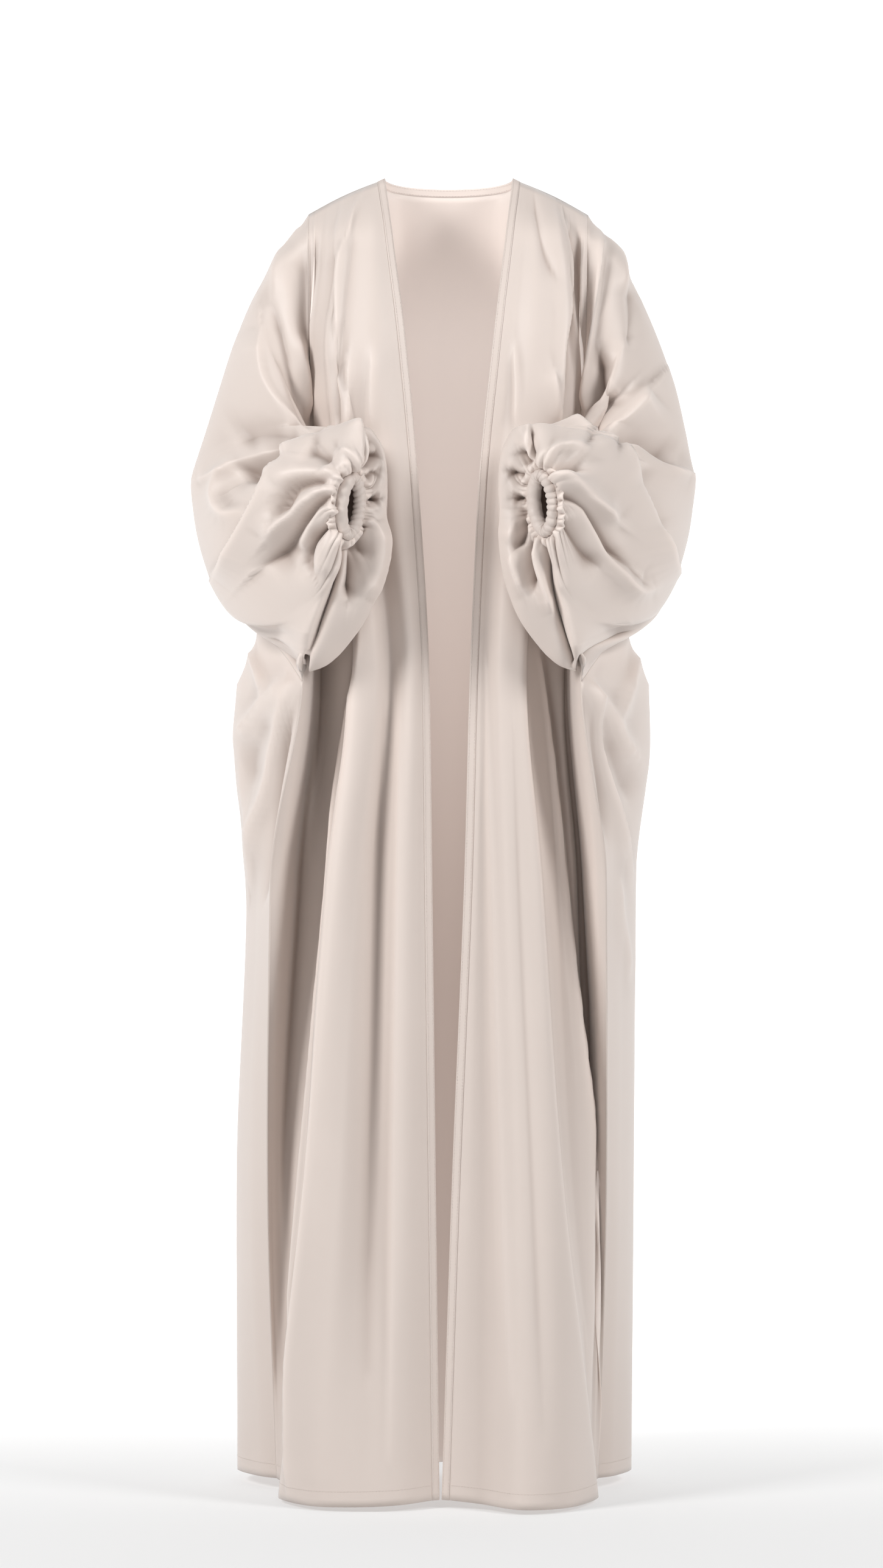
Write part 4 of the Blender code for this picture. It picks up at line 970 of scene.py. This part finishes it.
def tinted(share):
    """The cloth's tint, darker or lighter by a share."""
    return tuple(c * share for c in CLOTH_TINT)


body_cloth = crepe("crepe", CLOTH_TINT)
# The inner faces of the fronts, back and band carry a painted glow.
glowing_inside_cloth = crepe("crepe_inside_painted_glow", CLOTH_TINT, rough=0.6, painted_glow=0.56)
# A darker copy of the cloth for the sleeves' insides: painted shade inside the sleeve tubes.
shaded_sleeve_inside = crepe("crepe_sleeve_inside_painted_shade", tinted(0.7), rough=0.6)
cuff_cloth = crepe("crepe_cuff", tinted(0.97))
band_cloth = crepe("crepe_band", tinted(1.02), rough=0.42)
thread = crepe("thread", tinted(0.98))

edges, inner_edges, seams, pieces = {}, {}, {}, {}
seam_lines = []
for side, sign in SIDES.items():
    surface, edge = front_grid(side, PER_COLUMN, ROWS_ABOVE, ROWS_BELOW)
    seams[side] = surface[:, -1]
    across = np.linspace(0, 1, surface.shape[1])
    dip = EDGE_DROP + (1 - EDGE_DROP) * np.sin(math.pi * across) - EDGE_DROP * across
    surface[..., 2] -= HEM_DROP * hem_share(surface[..., 2]) * dip
    edge[:, 2] -= EDGE_DROP * HEM_DROP * hem_share(edge[:, 2])
    edges[side] = edge * (sign, 1, 1)
    surface = surface * (sign, 1, 1)
    normals = cloth_normals(surface, 3)
    if normals[:, :20, 1].mean() > 0:
        normals = -normals
    surface, moved = folded(f"front_{side}", surface, normals, edge_fade(surface.shape))
    inner_edges[side] = surface[:, 0]
    pieces[f"front_{side}"], shown = cloth_shell(f"front_panel_{side}", surface, body_cloth, moved=moved)
    seam_lines.append(hem_line(surface, shown))

back = back_grid(seams, SHOULDER_COLUMNS, NECK_COLUMNS, ROWS_ABOVE, ROWS_BELOW)
normals = cloth_normals(back, 3)
if normals[:, back.shape[1] // 2, 1].mean() < 0:
    normals = -normals
fade = edge_fade(back.shape)
back, moved = folded("back", back, normals, fade)
down = np.linspace(0, 1, back.shape[0])[:, None]
across = np.linspace(0, 2 * math.pi, back.shape[1])[None, :]
drags = hidden_drags(down ** 0.7, across, normals, BACK_DRAGS, BACK_DRAG_HEIGHT) * fade
back = back + normals * drags[..., None]
moved = moved + drags
pieces["back"], shown = cloth_shell("back_panel", back, body_cloth, front=False, moved=moved)
seam_lines.append(hem_line(back, shown))

for side, sign in SIDES.items():
    front_seam = seams[side][: ROWS_ABOVE + 1]
    back_seam = back[: ROWS_ABOVE + 1, 0 if side == "left" else -1] * (sign, 1, 1)
    loop = np.concatenate([front_seam, back_seam[-2:0:-1]])
    fine = np.repeat(loop, 2, axis=0)
    fine[1::2] = (loop + np.roll(loop, -1, axis=0)) / 2
    surface, stations, angle = sleeve_grid(side, fine, SLEEVE_ROWS)
    surface = surface * (sign, 1, 1)
    normals = unit(cloth_normals(surface, 4, closed=True))
    if normals[-12, :, 1].mean() > 0:
        normals = -normals
    fade = edge_fade(surface.shape, closed=True, last_rows=CUFF_FADE_ROWS)
    surface, painted_fold_shade = folded(f"sleeve_{side}", surface, normals, fade)
    drags = hidden_drags(stations[:, None], angle[None, :], normals, SLEEVE_DRAGS, SLEEVE_DRAG_HEIGHT)
    surface = surface + normals * drags[..., None]
    surface, moved = gathered(surface, stations, angle, normals)
    moved = moved + drags
    pieces[f"sleeve_{side}"], _ = cloth_shell(f"sleeve_shell_{side}", surface, body_cloth, closed=True,
                                              moved=painted_fold_shade + moved, inner=shaded_sleeve_inside)
    pieces[f"cuff_{side}"] = cuff_ring(side, cuff_cloth)

neck_edge, neck_inset = neck_curve(NECK_COLUMNS)
outer = np.concatenate([edges["left"][::-1], neck_edge[1:-1], edges["right"]])
inner = np.concatenate([inner_edges["left"][::-1], neck_inset[1:-1], inner_edges["right"]])
share = np.linspace(0, 1, BAND_COLUMNS + 1)[None, :, None]
band = inner[:, None] * (1 - share) + outer[:, None] * share
pieces["edge_band"], shown = cloth_shell("front_edge_band", band, band_cloth, wall=BAND_WALL)
for column in (1, BAND_COLUMNS - 1):
    for face in (1, -1):
        lift = shown[:, column] * BAND_WALL * BAND_LIFT * face
        seam_lines.append((band[:, column] + lift, shown[:, column] * face))
thread_piece = stitches("stitching", seam_lines, thread)

for node, piece in pieces.items():
    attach(piece, "root")
    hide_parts(node)
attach(thread_piece, "root")

# The floor, the light and the view
FLOOR_Z = HEM_Z - HEM_DROP - 0.003
FLOOR_FRONT = -6.0
FLOOR_BACK = 1.8
SWEEP_RADIUS = 2.6
SWEEP_STEPS = 16
WALL_TOP = 6.0
HALF_WIDTH = 9.0
PAPER_TINT = (0.42, 0.42, 0.42, 1)
PAPER_GLOW = ((-0.25, 0.41), (1.3, 0.95))
WORLD_STRENGTH = 0.15
BOX_SIZE = (1.2, 1.6)
LIGHTS = (
    # name, place, aim, size, watts
    ("left_box", (-3.2, -2.5, 1.7), (0, 0, -0.3), BOX_SIZE, 160),
    ("right_box", (3.3, -2.5, 1.7), (0, 0, -0.3), BOX_SIZE, 124),
    ("front", (0.0, -5.6, 0.4), (0, 0, -0.6), (0.8, 2.0), 14),
)
PICTURE_CENTRE = 725
PICTURE_HALF_HEIGHT = 1288

profile = [(FLOOR_FRONT, 0.0), (FLOOR_BACK, 0.0)]
profile += [(FLOOR_BACK + SWEEP_RADIUS * math.sin(a), SWEEP_RADIUS * (1 - math.cos(a)))
            for a in np.linspace(0.1, math.pi / 2, SWEEP_STEPS)]
profile.append((FLOOR_BACK + SWEEP_RADIUS, WALL_TOP))
sweep = np.array([[(-HALF_WIDTH, y, FLOOR_Z + z), (HALF_WIDTH, y, FLOOR_Z + z)] for y, z in profile])
strips = [(2 * i, 2 * i + 1, 2 * i + 3, 2 * i + 2) for i in range(len(profile) - 1)]
paper = bpy.data.materials.new("backdrop_paper")
paper.use_nodes = True
shader = paper.node_tree.nodes["Principled BSDF"]
for key, value in {"Base Color": PAPER_TINT, "Roughness": 0.9, "Specular IOR Level": 0.1,
                   "Emission Color": (1, 1, 1, 1)}.items():
    shader.inputs[key].default_value = value
paper.node_tree.links.new(fading(paper, "Y", *PAPER_GLOW), shader.inputs["Emission Strength"])
backdrop = made_mesh("backdrop", sweep.reshape(-1, 3), np.array(strips), paper)

world = bpy.data.worlds.new("studio")
bpy.context.scene.world = world
world.use_nodes = True
world.node_tree.nodes["Background"].inputs["Color"].default_value = (1.0, 1.0, 1.0, 1)
world.node_tree.nodes["Background"].inputs["Strength"].default_value = WORLD_STRENGTH

for name, place, aim, size, watts in LIGHTS:
    light = bpy.data.lights.new(name, "AREA")
    light.shape = "RECTANGLE"
    light.size, light.size_y = size
    light.energy = watts
    box = bpy.data.objects.new(name, light)
    box.location = place
    box.rotation_euler = (Vector(aim) - Vector(place)).to_track_quat("-Z", "Y").to_euler()
    bpy.context.scene.collection.objects.link(box)

camera = bpy.data.cameras.new("camera")
view = bpy.data.objects.new("camera", camera)
bpy.context.scene.collection.objects.link(view)
bpy.context.scene.camera = view
view.location = ((PICTURE_CENTRE - AXIS_AT[0]) * UNIT, -VIEW_DISTANCE, VIEW_HEIGHT)
view.rotation_euler = (math.pi / 2, 0, 0)
camera.sensor_fit = "VERTICAL"
camera.angle = 2 * math.atan(PICTURE_HALF_HEIGHT * UNIT / VIEW_DISTANCE)
camera.clip_end = 50
bpy.context.scene.view_settings.view_transform = "Standard"
